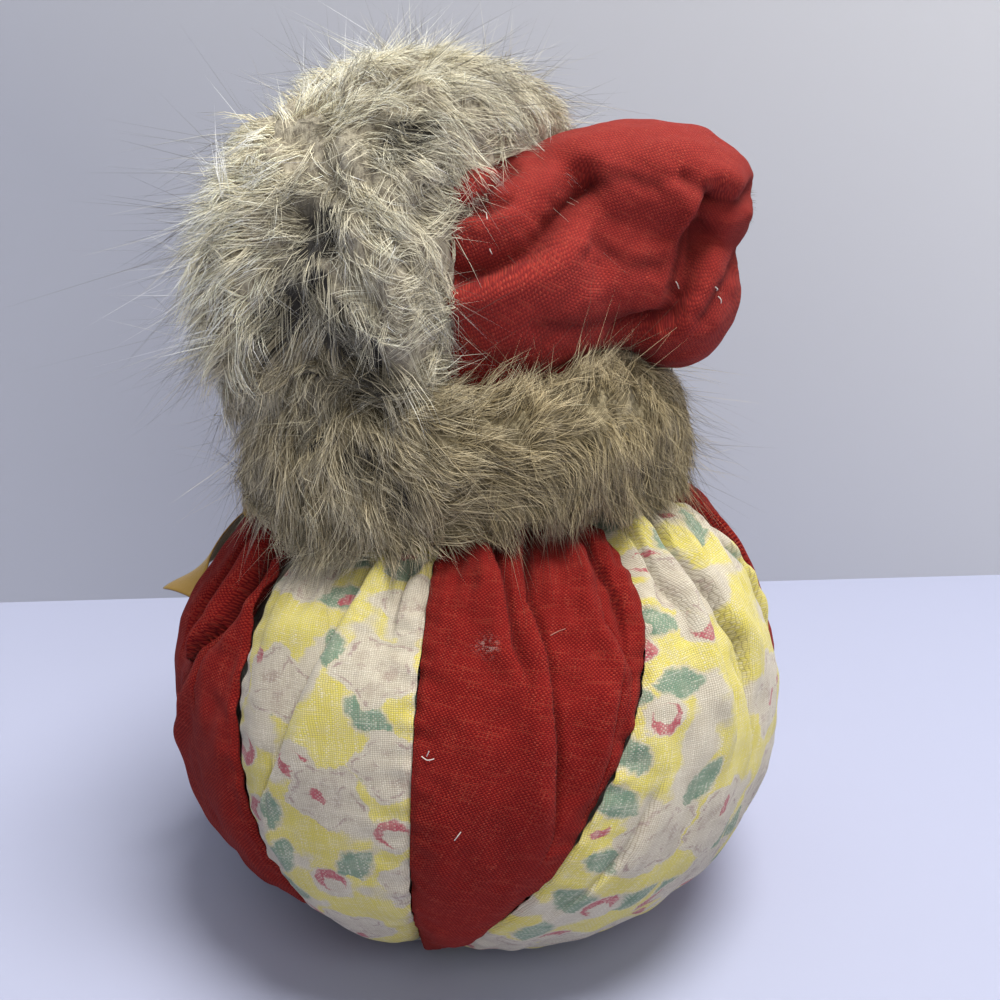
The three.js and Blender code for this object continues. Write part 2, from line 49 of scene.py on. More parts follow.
mm = 0.001
RNG_SEED = 7

# Ball body, as the frame has it
body_radius = 62 * mm
waist = np.array([0.0, 0.0, 45 * mm])
waist_to_crown = 48 * mm
body_fullness = 2.2
neck_dip = 3 * mm
neck_dip_span = 22
neck_rim = 18.8 * mm
base_patch_span = 8
base_lean = 30
base_lean_azimuth = 10
seam_gap = 0.06 * mm
cloth_thick = 0.6 * mm
rim_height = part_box("gore_red_2")[1].z

# Each seam runs from the base to the neck through these azimuths.
seams = [
    (-20, -17, -32),
    (20, 19.5, 16),
    (30, 52.5, 80),
    (100, 112, 122),
    (158, 161, 164),
    (208, 208, 208),
    (256, 253, 250),
    (305, 300, 290),
]

# The pleats of the gore after each seam: points (across, up) on the gore, depth and width.
# The cloth rolls over a pleat from its right, or from its left where the width is negative.
gores = {
    "gore_floral_1": [
        ([(0.29, 0.47), (0.40, 0.54), (0.51, 0.63), (0.58, 0.70), (0.65, 0.78), (0.70, 0.93)], 2.7, 2.2),
        ([(0.24, 0.34), (0.19, 0.39), (0.21, 0.44), (0.29, 0.49)], 1.4, 1.5),
        ([(0.86, 0.74), (0.87, 0.82), (0.88, 0.93)], 1.2, 1.8),
        ([(0.42, 0.78), (0.44, 0.84), (0.44, 0.93)], 1.4, -1.8),
        ([(0.15, 0.68), (0.17, 0.78), (0.18, 0.93)], 1.3, 1.8),
    ],
    "gore_red_2": [
        ([(0.45, 0.66), (0.38, 0.71), (0.36, 0.75), (0.33, 0.81), (0.28, 0.88), (0.27, 0.96)], 2.5, -1.9),
        (
            [
                (0.80, 0.45), (0.69, 0.52), (0.57, 0.63), (0.53, 0.69), (0.44, 0.78), (0.44, 0.85),
                (0.52, 0.96),
            ],
            3.0, -2.1,
        ),
        ([(0.93, 0.66), (0.84, 0.71), (0.78, 0.74), (0.76, 0.78), (0.76, 0.86), (0.72, 0.91)], 2.3, -1.8),
        ([(0.90, 0.71), (0.87, 0.78), (0.84, 0.83), (0.83, 0.89), (0.81, 0.96)], 1.7, 1.6),
        ([(0.94, 0.50), (0.90, 0.57), (0.86, 0.62), (0.86, 0.67)], 1.5, -1.4),
    ],
    "gore_floral_2": [
        ([(0.18, 0.73), (0.14, 0.78), (0.12, 0.84), (0.12, 0.93)], 1.7, 1.7),
        ([(0.40, 0.57), (0.33, 0.63), (0.28, 0.69), (0.26, 0.73), (0.27, 0.79), (0.24, 0.93)], 2.8, -2.0),
        ([(0.50, 0.63), (0.46, 0.68), (0.41, 0.71), (0.36, 0.78), (0.35, 0.93)], 2.2, 1.9),
        ([(0.55, 0.54), (0.48, 0.60), (0.41, 0.66)], 1.5, -1.8),
        ([(0.58, 0.69), (0.61, 0.77), (0.70, 0.83), (0.78, 0.95)], 2.3, -1.9),
        ([(0.95, 0.64), (0.90, 0.76), (0.86, 0.93)], 1.9, 1.9),
        ([(0.12, 0.34), (0.16, 0.42), (0.15, 0.52)], 0.9, 2.0),
    ],
    "gore_red_3": [
        ([(0.30, 0.55), (0.25, 0.70), (0.22, 0.93)], 2.6, 2.0),
        ([(0.58, 0.66), (0.52, 0.78), (0.50, 0.93)], 2.2, -1.8),
        ([(0.82, 0.60), (0.78, 0.74), (0.76, 0.93)], 2.4, 2.0),
    ],
    "gore_floral_3": [
        ([(0.24, 0.60), (0.22, 0.74), (0.24, 0.93)], 2.4, 1.9),
        ([(0.52, 0.52), (0.50, 0.68), (0.47, 0.93)], 2.8, -2.0),
        ([(0.80, 0.64), (0.78, 0.78), (0.74, 0.93)], 2.2, 1.8),
    ],
    "gore_red_4": [
        ([(0.20, 0.62), (0.24, 0.76), (0.25, 0.93)], 2.3, 1.9),
        ([(0.46, 0.54), (0.50, 0.70), (0.50, 0.93)], 2.7, 2.0),
        ([(0.78, 0.62), (0.75, 0.76), (0.74, 0.93)], 2.3, -1.8),
    ],
    "gore_floral_4": [
        ([(0.24, 0.60), (0.27, 0.74), (0.28, 0.93)], 2.3, 1.9),
        ([(0.56, 0.50), (0.52, 0.66), (0.52, 0.93)], 2.7, -2.0),
        ([(0.82, 0.62), (0.80, 0.78), (0.77, 0.93)], 2.1, 1.8),
    ],
    "gore_red_1": [
        ([(0.72, 0.56), (0.78, 0.62), (0.84, 0.65), (0.92, 0.69), (0.95, 0.76), (0.94, 0.93)], 2.2, 1.8),
        ([(0.58, 0.56), (0.66, 0.61), (0.78, 0.66), (0.82, 0.73), (0.81, 0.93)], 2.5, -1.8),
        ([(0.34, 0.45), (0.50, 0.51), (0.61, 0.57), (0.66, 0.70), (0.64, 0.93)], 2.3, 1.9),
        ([(0.16, 0.60), (0.20, 0.74), (0.20, 0.93)], 2.0, 1.9),
        ([(0.38, 0.62), (0.44, 0.75), (0.42, 0.93)], 2.2, -2.0),
    ],
}
# Puffed and drawn-in places: across, up, height and reach in millimetres.
gore_puffs = {
    "gore_red_2": [
        (0.91, 0.88, 1.5, 5.5), (0.67, 0.92, -3.4, 2.2), (0.60, 0.80, 1.3, 6.0),
        (0.15, 0.78, 1.2, 8.0), (0.74, 0.64, 0.9, 8.0),
    ],
    "gore_floral_1": [(0.80, 0.62, 1.0, 9.0), (0.28, 0.70, 1.0, 7.0), (0.60, 0.30, 1.0, 10.0)],
    "gore_floral_2": [(0.62, 0.84, 1.6, 4.5), (0.80, 0.76, 1.2, 6.0), (0.45, 0.40, 1.0, 14.0)],
    "gore_red_1": [(0.50, 0.68, -2.8, 13.0)],
    "gore_floral_4": [(0.95, 0.70, -2.0, 10.0)],
}
# Where the cloth is pushed together in small waves: across, up and reach in millimetres.
gore_waves = {
    "gore_floral_1": [(0.80, 0.73, 8.0)],
    "gore_floral_2": [(0.16, 0.68, 6.0)],
}
gore_columns = 110
gore_rows = 150
gore_height = 150 * mm
pitch_length = 58 * mm

# Head
head_centre = Vector((0, -1 * mm, rim_height + 32 * mm))
head_radius = 26 * mm
face_radius = 17 * mm
hood_neck_radius = 17.4 * mm
eye_azimuth = 17
eye_rise = 10
eye_radius = 2 * mm
nose_radius = 3.1 * mm
nose_out = 3.2 * mm / 3
mouth_azimuth = 9
mouth_rise = -13

# Fur collar
collar_middle = 95.5 * mm

# Fur trim round the face
trim_radius = 28.5 * mm
trim_forward = 15.5 * mm
trim_lean = 3
trim_side_width = 52 * mm
trim_half_depth = 15.5 * mm

# Hair: clumps of strands, and radii in millimetres of a strand and of a stray guard hair
undercoat_voxel = 1.1 * mm
hair_joints = 3
hairs_per_clump = 10
trim_clumps = 4200
beard_clumps = 1900
back_clumps = 3200
trim_strand = (0.088, 0.064)
collar_strand = (0.094, 0.055)
stray_share = 0.13
stray_reach = 1.45
strand_wave = 0.14 * mm
highest_hair = 176 * mm

# Cap: lobes placed along the flop, to its side and above the neck's rim, with their half sizes
cap_azimuth = 120
cap_lobes = [
    (6, 3, 41, (22, 26.5, 19.5)),
    (9, 2, 52, (18, 18, 12.5)),
    (-1.5, 14, 57.5, (10, 6.8, 5.8)),
    (29, 0, 58, (22.5, 16, 11.3)),
    (20, 1, 43.5, (21, 18.5, 16.2)),
    (37.5, -1, 38, (12.6, 16, 15.2)),
    (46, -1, 52.5, (5.6, 10, 6.4)),
]
pompom_place = (46, -13, 52.5)
cap_voxel = 1.1 * mm
cap_puff_frames = 20
# The cap's cloth lies round an axis at this height, at this radius, and turned by this angle.
cap_axis_up = 48.0
cap_cloth_radius = 19.0
cap_cloth_turn = 24
# Past this place along the cap its cloth follows a round end.
cap_end_start = 36.0
cap_end_radius = 14.6

# Ribbon bow: width, and azimuth and angle from straight up of its knot
ribbon_width = 8 * mm
bow_azimuth = 270
knot_polar = 44

# Threads and the ribbon's thickness
ribbon_thick = 0.35 * mm
mouth_radius = 0.35 * mm
tack_radius = 0.10 * mm
thread_end_radius = 0.095 * mm
pale_thread_radius = 0.075 * mm
neck_strand_radius = 0.28 * mm
neck_strand_out = 0.26 * mm
neck_twists = 60


# Shader nodes


def add_node(tree, kind, **settings):
    node = tree.nodes.new(kind)
    for name, value in settings.items():
        setattr(node, name, value)
    return node


def feed(tree, socket, value):
    if isinstance(value, bpy.types.NodeSocket):
        tree.links.new(value, socket)
    elif value is not None:
        socket.default_value = value


def calc(tree, operation, *values):
    node = add_node(tree, "ShaderNodeMath", operation=operation)
    for socket, value in zip(node.inputs, values):
        feed(tree, socket, value)
    return node.outputs[0]


def vector_calc(tree, operation, *values):
    node = add_node(tree, "ShaderNodeVectorMath", operation=operation)
    for socket, value in zip(node.inputs, values):
        feed(tree, socket, value)
    return node.outputs[0]


def blend_colors(tree, share, below, above):
    node = add_node(tree, "ShaderNodeMix", data_type="RGBA")
    feed(tree, node.inputs[0], share)
    feed(tree, node.inputs[6], below)
    feed(tree, node.inputs[7], above)
    return node.outputs[2]


def spread(tree, value, low, high, to_low=0.0, to_high=1.0, soft=True):
    """The value's place between low and high, from to_low to to_high."""
    node = add_node(tree, "ShaderNodeMapRange")
    node.interpolation_type = "SMOOTHSTEP" if soft else "LINEAR"
    for socket, number in zip(node.inputs, (value, low, high, to_low, to_high)):
        feed(tree, socket, number)
    return node.outputs[0]


def times(tree, first, second):
    return calc(tree, "MULTIPLY", first, second)


def xyz(tree, vector):
    node = add_node(tree, "ShaderNodeSeparateXYZ")
    feed(tree, node.inputs[0], vector)
    return node.outputs


def noise(tree, vector, scale, detail, roughness):
    node = add_node(tree, "ShaderNodeTexNoise")
    feed(tree, node.inputs["Vector"], vector)
    node.inputs["Scale"].default_value = scale
    node.inputs["Detail"].default_value = detail
    node.inputs["Roughness"].default_value = roughness
    return node.outputs


def clouds(tree, vector, scale, detail=2.0, roughness=0.5):
    return noise(tree, vector, scale, detail, roughness)["Fac"]


def cloud_shifts(tree, vector, scale, detail=2.0, roughness=0.5):
    """Shifts of up to half a unit each way, which change over the surface."""
    colors = noise(tree, vector, scale, detail, roughness)["Color"]
    return vector_calc(tree, "SUBTRACT", colors, (0.5, 0.5, 0.5))


def attribute_value(tree, name):
    return add_node(tree, "ShaderNodeAttribute", attribute_name=name).outputs["Fac"]


def attribute_vector(tree, name):
    return add_node(tree, "ShaderNodeAttribute", attribute_name=name).outputs["Vector"]


def object_place(tree):
    return add_node(tree, "ShaderNodeTexCoord").outputs["Object"]


def rgb(red, green, blue):
    return (red, green, blue, 1.0)


def new_group(name, inputs, outputs):
    tree = bpy.data.node_groups.new(name, "ShaderNodeTree")
    for socket_name, kind, default in inputs:
        socket = tree.interface.new_socket(socket_name, in_out="INPUT", socket_type=kind)
        if default is not None:
            socket.default_value = default
    for socket_name, kind in outputs:
        tree.interface.new_socket(socket_name, in_out="OUTPUT", socket_type=kind)
    return tree, tree.nodes.new("NodeGroupInput"), tree.nodes.new("NodeGroupOutput")


def plain_weave_group():
    """Threads that cross over and under, from coordinates in millimetres of cloth."""
    inputs = [
        ("Cloth", "NodeSocketVector", None),
        ("Warp Pitch", "NodeSocketFloat", 0.52),
        ("Weft Pitch", "NodeSocketFloat", 0.52),
        ("Waviness", "NodeSocketFloat", 0.35),
    ]
    outputs = [
        ("Height", "NodeSocketFloat"),
        ("Warp", "NodeSocketFloat"),
        ("Thread", "NodeSocketFloat"),
        ("Slub", "NodeSocketFloat"),
    ]
    tree, given, made = new_group("plain_weave", inputs, outputs)
    cloth = given.outputs["Cloth"]
    scaled = add_node(tree, "ShaderNodeVectorMath", operation="SCALE")
    feed(tree, scaled.inputs[0], cloud_shifts(tree, cloth, 0.3))
    feed(tree, scaled.inputs["Scale"], given.outputs["Waviness"])
    x, y, _ = xyz(tree, vector_calc(tree, "ADD", cloth, scaled.outputs[0]))
    across = calc(tree, "DIVIDE", x, given.outputs["Warp Pitch"])
    along = calc(tree, "DIVIDE", y, given.outputs["Weft Pitch"])
    waves = [calc(tree, "SINE", times(tree, count, math.pi)) for count in (across, along)]
    product = times(tree, *waves)
    bump = calc(tree, "POWER", calc(tree, "ABSOLUTE", product), 0.55)
    warp = spread(tree, product, -0.12, 0.12)
    threads = []
    slubs = []
    for index, (count, other) in enumerate(((across, along), (along, across))):
        number = calc(tree, "FLOOR", count)
        line = add_node(tree, "ShaderNodeCombineXYZ")
        feed(tree, line.inputs[0], times(tree, number, 7.31))
        feed(tree, line.inputs[1], times(tree, other, 0.045))
        line.inputs[2].default_value = 11.0 * index
        threads.append(clouds(tree, line.outputs[0], 1.0, 1.0))
        slubs.append(spread(tree, clouds(tree, line.outputs[0], 2.3, 0.0), 0.56, 0.78))
    pick = add_node(tree, "ShaderNodeMix", data_type="FLOAT")
    slub = add_node(tree, "ShaderNodeMix", data_type="FLOAT")
    for node, (weft_value, warp_value) in ((pick, threads[::-1]), (slub, slubs[::-1])):
        feed(tree, node.inputs[0], warp)
        feed(tree, node.inputs[2], weft_value)
        feed(tree, node.inputs[3], warp_value)
    thick = calc(tree, "MULTIPLY_ADD", slub.outputs[0], 0.5, 0.75)
    feed(tree, made.inputs["Height"], times(tree, bump, thick))
    feed(tree, made.inputs["Warp"], warp)
    feed(tree, made.inputs["Thread"], pick.outputs[0])
    feed(tree, made.inputs["Slub"], slub.outputs[0])
    return tree


def scattered_motif_group():
    """Local coordinates in millimetres, turned at random, about places scattered over the cloth."""
    inputs = [
        ("Cloth", "NodeSocketVector", None),
        ("Spacing", "NodeSocketFloat", 15.0),
        ("Shift", "NodeSocketFloat", 0.0),
    ]
    outputs = [("X", "NodeSocketFloat"), ("Y", "NodeSocketFloat"), ("Random", "NodeSocketFloat")]
    tree, given, made = new_group("scattered_motif", inputs, outputs)
    moved = vector_calc(tree, "ADD", given.outputs["Cloth"], given.outputs["Shift"])
    place = vector_calc(tree, "DIVIDE", moved, given.outputs["Spacing"])
    cells = add_node(tree, "ShaderNodeTexVoronoi", voronoi_dimensions="2D")
    feed(tree, cells.inputs["Vector"], place)
    cells.inputs["Scale"].default_value = 1.0
    cells.inputs["Randomness"].default_value = 0.62
    local = vector_calc(tree, "SUBTRACT", place, cells.outputs["Position"])
    local = vector_calc(tree, "MULTIPLY", local, given.outputs["Spacing"])
    chance = add_node(tree, "ShaderNodeSeparateColor")
    feed(tree, chance.inputs[0], cells.outputs["Color"])
    turn = add_node(tree, "ShaderNodeVectorRotate", rotation_type="Z_AXIS")
    feed(tree, turn.inputs["Vector"], local)
    feed(tree, turn.inputs["Angle"], times(tree, chance.outputs[0], 2 * math.pi))
    x, y, _ = xyz(tree, turn.outputs[0])
    feed(tree, made.inputs["X"], x)
    feed(tree, made.inputs["Y"], y)
    feed(tree, made.inputs["Random"], chance.outputs[1])
    return tree


def fold_shade_group():
    """How deep in a fold the cloth lies, for painting shade there."""
    tree, _, made = new_group("fold_shade", [], [("Mask", "NodeSocketFloat")])
    crease_shade = attribute_value(tree, "crease_shade")
    feed(tree, made.inputs["Mask"], times(tree, crease_shade, 0.66))
    return tree


weave = plain_weave_group()
motif = scattered_motif_group()
fold_shade = fold_shade_group()


# Materials


def new_material(name, roughness, sheen=0.0, sheen_tint=(1, 1, 1, 1)):
    material = bpy.data.materials.new(name)
    material.use_nodes = True
    tree = material.node_tree
    shader = tree.nodes["Principled BSDF"]
    shader.inputs["Roughness"].default_value = roughness
    shader.inputs["Sheen Weight"].default_value = sheen
    shader.inputs["Sheen Roughness"].default_value = 0.45
    shader.inputs["Sheen Tint"].default_value = sheen_tint
    shader.inputs["Specular IOR Level"].default_value = 0.25
    return material, tree, shader


def place_group(tree, group, vector, **values):
    node = add_node(tree, "ShaderNodeGroup")
    node.node_tree = group
    feed(tree, node.inputs[0], vector)
    for name, value in values.items():
        node.inputs[name.replace("_", " ")].default_value = value
    return node


def raise_surface(tree, shader, height, distance, strength=1.0):
    bump = add_node(tree, "ShaderNodeBump")
    bump.inputs["Distance"].default_value = distance
    bump.inputs["Strength"].default_value = strength
    feed(tree, bump.inputs["Height"], height)
    feed(tree, shader.inputs["Normal"], bump.outputs[0])


def shade_in_creases(tree, color, deep):
    """Paints shade on cloth where it lies deep in a fold."""
    node = add_node(tree, "ShaderNodeGroup")
    node.node_tree = fold_shade
    return blend_colors(tree, node.outputs["Mask"], color, deep)


def red_linen():
    material, tree, shader = new_material("red_linen", 0.88, 0.05, rgb(1.0, 0.55, 0.5))
    shader.inputs["Specular IOR Level"].default_value = 0.08
    cloth = attribute_vector(tree, "cloth_mm")
    threads = place_group(tree, weave, cloth, Warp_Pitch=0.39, Weft_Pitch=0.37, Waviness=0.8)
    thread = threads.outputs["Thread"]
    deep = blend_colors(tree, thread, rgb(0.106, 0.0030, 0.0048), rgb(0.160, 0.0050, 0.0065))
    bright = blend_colors(tree, thread, rgb(0.198, 0.0105, 0.0080), rgb(0.345, 0.031, 0.018))
    color = blend_colors(tree, threads.outputs["Warp"], deep, bright)
    slubs = times(tree, threads.outputs["Slub"], 0.30)
    color = blend_colors(tree, slubs, color, rgb(0.46, 0.085, 0.050))
    # Painted shade in the gaps between the threads.
    thread_gap_shade = spread(tree, threads.outputs["Height"], 0.05, 0.5, 0.5, 0.0)
    color = blend_colors(tree, thread_gap_shade, color, rgb(0.055, 0.004, 0.006))
    worn = spread(tree, clouds(tree, cloth, 0.06, 3.0), 0.35, 0.75, 0.0, 0.25)
    color = blend_colors(tree, worn, color, rgb(0.25, 0.016, 0.014))
    # Painted light: the cap's linen is paler all over, and paler still on its upward faces near the top.
    fade_and_painted_light = attribute_value(tree, "fade_and_painted_light")
    color = blend_colors(tree, times(tree, fade_and_painted_light, 0.42), color, rgb(0.56, 0.105, 0.090))
    pale = attribute_value(tree, "scuff")
    broken = spread(tree, clouds(tree, cloth, 0.9, 4.0, 0.7), 0.48, 0.66, 0.0, 0.7)
    fray = times(tree, pale, broken)
    color = blend_colors(tree, fray, color, rgb(0.52, 0.34, 0.29))
    # Painted shade: the linen turns nearly black deep in its folds.
    color = shade_in_creases(tree, color, rgb(0.018, 0.002, 0.003))
    feed(tree, shader.inputs["Base Color"], color)
    raise_surface(tree, shader, threads.outputs["Height"], 0.11 * mm)
    return material


def floral_cotton():
    """A printed cotton of loose blossoms, leaves and buds on a yellow and cream ground."""
    material, tree, shader = new_material("floral_cotton", 0.86, 0.15)
    cloth = attribute_vector(tree, "cloth_mm")
    threads = place_group(tree, weave, cloth, Warp_Pitch=0.39, Weft_Pitch=0.40, Waviness=0.7)
    off = cloud_shifts(tree, cloth, 0.36, 5.0, 0.66)
    inked = vector_calc(tree, "MULTIPLY_ADD", off, (3.6, 3.6, 0.0), cloth)

    yellow = blend_colors(
        tree, clouds(tree, cloth, 0.15, 3.0), rgb(0.58, 0.48, 0.065), rgb(0.74, 0.655, 0.17)
    )
    cream = blend_colors(tree, clouds(tree, cloth, 0.25, 3.0), rgb(0.44, 0.38, 0.29), rgb(0.66, 0.60, 0.49))
    color = blend_colors(tree, spread(tree, clouds(tree, inked, 0.075, 2.0), 0.53, 0.60), yellow, cream)

    blossom = place_group(tree, motif, inked, Spacing=20.0, Shift=3.0)
    reach, turn = polar(tree, blossom)
    petals = times(tree, calc(tree, "SINE", times(tree, turn, 5.0)), 0.9)
    edge = calc(tree, "SUBTRACT", calc(tree, "SUBTRACT", reach, petals), 7.2)
    shown = calc(tree, "LESS_THAN", blossom.outputs["Random"], 0.85)
    inside = times(tree, spread(tree, edge, 0.5, 0.0), shown)
    color = blend_colors(tree, inside, color, cream)
    blot = spread(tree, clouds(tree, inked, 0.22, 4.0, 0.65), 0.46, 0.66, 0.0, 0.75)
    core = times(tree, spread(tree, reach, 6.6, 2.0), blot)
    color = blend_colors(tree, times(tree, core, shown), color, rgb(0.30, 0.21, 0.185))
    ring = spread(tree, calc(tree, "ABSOLUTE", calc(tree, "ADD", edge, 0.9)), 0.5, 0.1, 0.0, 0.7)
    spokes = calc(tree, "ABSOLUTE", calc(tree, "SINE", times(tree, turn, 2.5)))
    spokes = spread(tree, spokes, 0.20, 0.06, 0.0, 0.6)
    spoke_span = spread(tree, calc(tree, "ABSOLUTE", calc(tree, "SUBTRACT", reach, 4.0)), 2.2, 1.5)
    lines = calc(tree, "MAXIMUM", ring, times(tree, spokes, spoke_span))
    broken = spread(tree, clouds(tree, cloth, 0.4, 2.0), 0.42, 0.58)
    lines = times(tree, times(tree, lines, inside), broken)
    color = blend_colors(tree, lines, color, rgb(0.27, 0.16, 0.17))

    leaf = place_group(tree, motif, inked, Spacing=11.5, Shift=41.0)
    long_way = calc(tree, "DIVIDE", leaf.outputs["X"], 5.4)
    belly = calc(tree, "SUBTRACT", 1.0, times(tree, long_way, long_way))
    half_width = times(tree, belly, 2.7)
    leaf_edge = calc(tree, "SUBTRACT", calc(tree, "ABSOLUTE", leaf.outputs["Y"]), half_width)
    off_blossom = spread(tree, inside, 0.8, 0.3)
    leaf_shown = times(tree, calc(tree, "LESS_THAN", leaf.outputs["Random"], 0.43), off_blossom)
    halo = times(tree, spread(tree, leaf_edge, 1.1, 0.4, 0.0, 0.7), leaf_shown)
    color = blend_colors(tree, halo, color, cream)
    green = blend_colors(
        tree, clouds(tree, inked, 0.45, 3.0, 0.6), rgb(0.080, 0.165, 0.105), rgb(0.22, 0.345, 0.245)
    )
    leaf_ink = times(tree, spread(tree, leaf_edge, 0.55, -0.45), leaf_shown)
    color = blend_colors(tree, leaf_ink, color, green)

    bud = place_group(tree, motif, inked, Spacing=14.0, Shift=83.0)
    bud_reach, bud_turn = polar(tree, bud)
    heart = calc(tree, "SUBTRACT", bud_reach, times(tree, calc(tree, "SINE", bud_turn), 1.0))
    large = calc(tree, "LESS_THAN", bud.outputs["Random"], 0.34)
    large = times(tree, large, spread(tree, inside, 0.9, 0.4))
    color = blend_colors(tree, times(tree, spread(tree, heart, 4.4, 3.7), large), color, cream)
    swell = calc(tree, "MULTIPLY_ADD", calc(tree, "SINE", calc(tree, "ADD", bud_turn, 2.2)), 0.75, 0.55)
    from_line = calc(tree, "ABSOLUTE", calc(tree, "SUBTRACT", heart, 2.4))
    stroke = spread(tree, calc(tree, "SUBTRACT", from_line, swell), 0.3, -0.15)
    stroke = times(tree, stroke, large)
    small = calc(tree, "GREATER_THAN", bud.outputs["Random"], 0.74)
    long_bud = calc(tree, "POWER", calc(tree, "DIVIDE", bud.outputs["X"], 1.8), 2.0)
    wide_bud = calc(tree, "POWER", calc(tree, "DIVIDE", calc(tree, "ABSOLUTE", bud.outputs["Y"]), 1.1), 2.0)
    drop = times(tree, spread(tree, calc(tree, "ADD", long_bud, wide_bud), 1.2, 0.7), small)
    crimson = blend_colors(
        tree, clouds(tree, inked, 0.6, 3.0), rgb(0.30, 0.025, 0.05), rgb(0.52, 0.11, 0.15)
    )
    color = blend_colors(tree, calc(tree, "MAXIMUM", stroke, drop), color, crimson)

    fade_and_painted_light = spread(tree, clouds(tree, cloth, 0.35, 4.0, 0.6), 0.35, 0.75, 0.0, 0.28)
    color = blend_colors(tree, fade_and_painted_light, color, rgb(0.60, 0.54, 0.42))
    undyed = spread(tree, threads.outputs["Thread"], 0.42, 0.62, 0.0, 0.34)
    pale_warp = times(tree, threads.outputs["Warp"], undyed)
    color = blend_colors(tree, pale_warp, color, rgb(0.70, 0.66, 0.54))
    raw = times(tree, threads.outputs["Slub"], 0.28)
    color = blend_colors(tree, raw, color, rgb(0.74, 0.70, 0.60))
    # Painted shade in the gaps between the threads.
    thread_gap_shade = spread(tree, threads.outputs["Height"], 0.0, 0.55, 0.62, 0.0)
    color = blend_colors(tree, thread_gap_shade, color, rgb(0.16, 0.125, 0.08))
    # Painted shade: the cotton turns dark deep in its folds.
    color = shade_in_creases(tree, color, rgb(0.05, 0.035, 0.018))
    feed(tree, shader.inputs["Base Color"], color)
    raise_surface(tree, shader, threads.outputs["Height"], 0.08 * mm)
    return material


def polar(tree, node):
    """Distance and direction from a motif's middle."""
    x, y = node.outputs["X"], node.outputs["Y"]
    squares = calc(tree, "ADD", times(tree, x, x), times(tree, y, y))
    return calc(tree, "SQRT", squares), calc(tree, "ARCTAN2", y, x)


def muslin():
    material, tree, shader = new_material("skin_muslin", 0.85, 0.15)
    cloth = attribute_vector(tree, "cloth_mm")
    threads = place_group(tree, weave, cloth, Warp_Pitch=0.4, Weft_Pitch=0.4, Waviness=0.4)
    color = blend_colors(tree, threads.outputs["Thread"], rgb(0.62, 0.36, 0.25), rgb(0.74, 0.47, 0.34))
    rosy = attribute_value(tree, "blush")
    color = blend_colors(tree, rosy, color, rgb(0.62, 0.16, 0.13))
    # Painted shade in the gaps between the threads.
    thread_gap_shade = spread(tree, threads.outputs["Height"], 0.0, 0.5, 0.3, 0.0)
    color = blend_colors(tree, thread_gap_shade, color, rgb(0.25, 0.12, 0.08))
    feed(tree, shader.inputs["Base Color"], color)
    raise_surface(tree, shader, threads.outputs["Height"], 0.09 * mm)
    return material


def fur_material(name, roughness):
    """Hair whose colour is kept on each strand."""
    material, tree, shader = new_material(name, roughness, 0.0)
    hue = add_node(tree, "ShaderNodeAttribute", attribute_name="hair_color").outputs["Color"]
    feed(tree, shader.inputs["Base Color"], hue)
    shader.inputs["Specular IOR Level"].default_value = 0.35
    return material


def pelt_material(name, dark, light):
    """The felted undercoat that shows between the hairs."""
    material, tree, shader = new_material(name, 0.95, 0.1)
    place = object_place(tree)
    stretched = vector_calc(tree, "MULTIPLY", place, (1.0, 1.0, 0.45))
    mottle = clouds(tree, stretched, 900.0, 4.0, 0.7)
    color = blend_colors(tree, spread(tree, mottle, 0.3, 0.7), dark, light)
    # Painted shade: the undercoat turns nearly black in the pockets, along the parting, under the trim's
    # lobes and over the pompom's core.
    pocket_shade = attribute_value(tree, "pocket_shade")
    color = blend_colors(tree, spread(tree, pocket_shade, 0.1, 0.6, 0.0, 0.95), color, rgb(0.018, 0.016, 0.015))
    feed(tree, shader.inputs["Base Color"], color)
    raise_surface(tree, shader, mottle, 0.5 * mm)
    return material


def wadding_material():
    material, tree, shader = new_material("wadding", 0.95, 0.2)
    place = object_place(tree)
    fibres = clouds(tree, place, 1400.0, 5.0, 0.75)
    color = blend_colors(tree, fibres, rgb(0.55, 0.53, 0.48), rgb(0.78, 0.76, 0.71))
    feed(tree, shader.inputs["Base Color"], color)
    raise_surface(tree, shader, fibres, 0.3 * mm)
    return material


def ribbon_satin():
    """Gold on one face and dark on the other."""
    material, tree, shader = new_material("gold_satin", 0.34, 0.2, rgb(1.0, 0.85, 0.55))
    cloth = attribute_vector(tree, "cloth_mm")
    fine = vector_calc(tree, "MULTIPLY", cloth, (9.0, 0.6, 1.0))
    lines = clouds(tree, fine, 1.0, 2.0)
    gold = blend_colors(tree, lines, rgb(0.31, 0.18, 0.032), rgb(0.49, 0.315, 0.080))
    under = attribute_value(tree, "underside")
    color = blend_colors(tree, under, gold, rgb(0.10, 0.035, 0.032))
    feed(tree, shader.inputs["Base Color"], color)
    raise_surface(tree, shader, lines, 0.05 * mm)
    return material


def thread_material(name, dark, light):
    material, tree, shader = new_material(name, 0.8, 0.2)
    place = object_place(tree)
    twist = clouds(tree, place, 2600.0, 3.0, 0.6)
    feed(tree, shader.inputs["Base Color"], blend_colors(tree, twist, dark, light))
    raise_surface(tree, shader, twist, 0.08 * mm)
    return material


def black_bead():
    material, tree, shader = new_material("black_bead", 0.12)
    place = object_place(tree)
    marks = clouds(tree, place, 1800.0, 3.0)
    feed(tree, shader.inputs["Roughness"], spread(tree, marks, 0.3, 0.8, 0.06, 0.2))
    color = blend_colors(tree, marks, rgb(0.008, 0.008, 0.009), rgb(0.02, 0.02, 0.022))
    feed(tree, shader.inputs["Base Color"], color)
    shader.inputs["Specular IOR Level"].default_value = 0.5
    return material


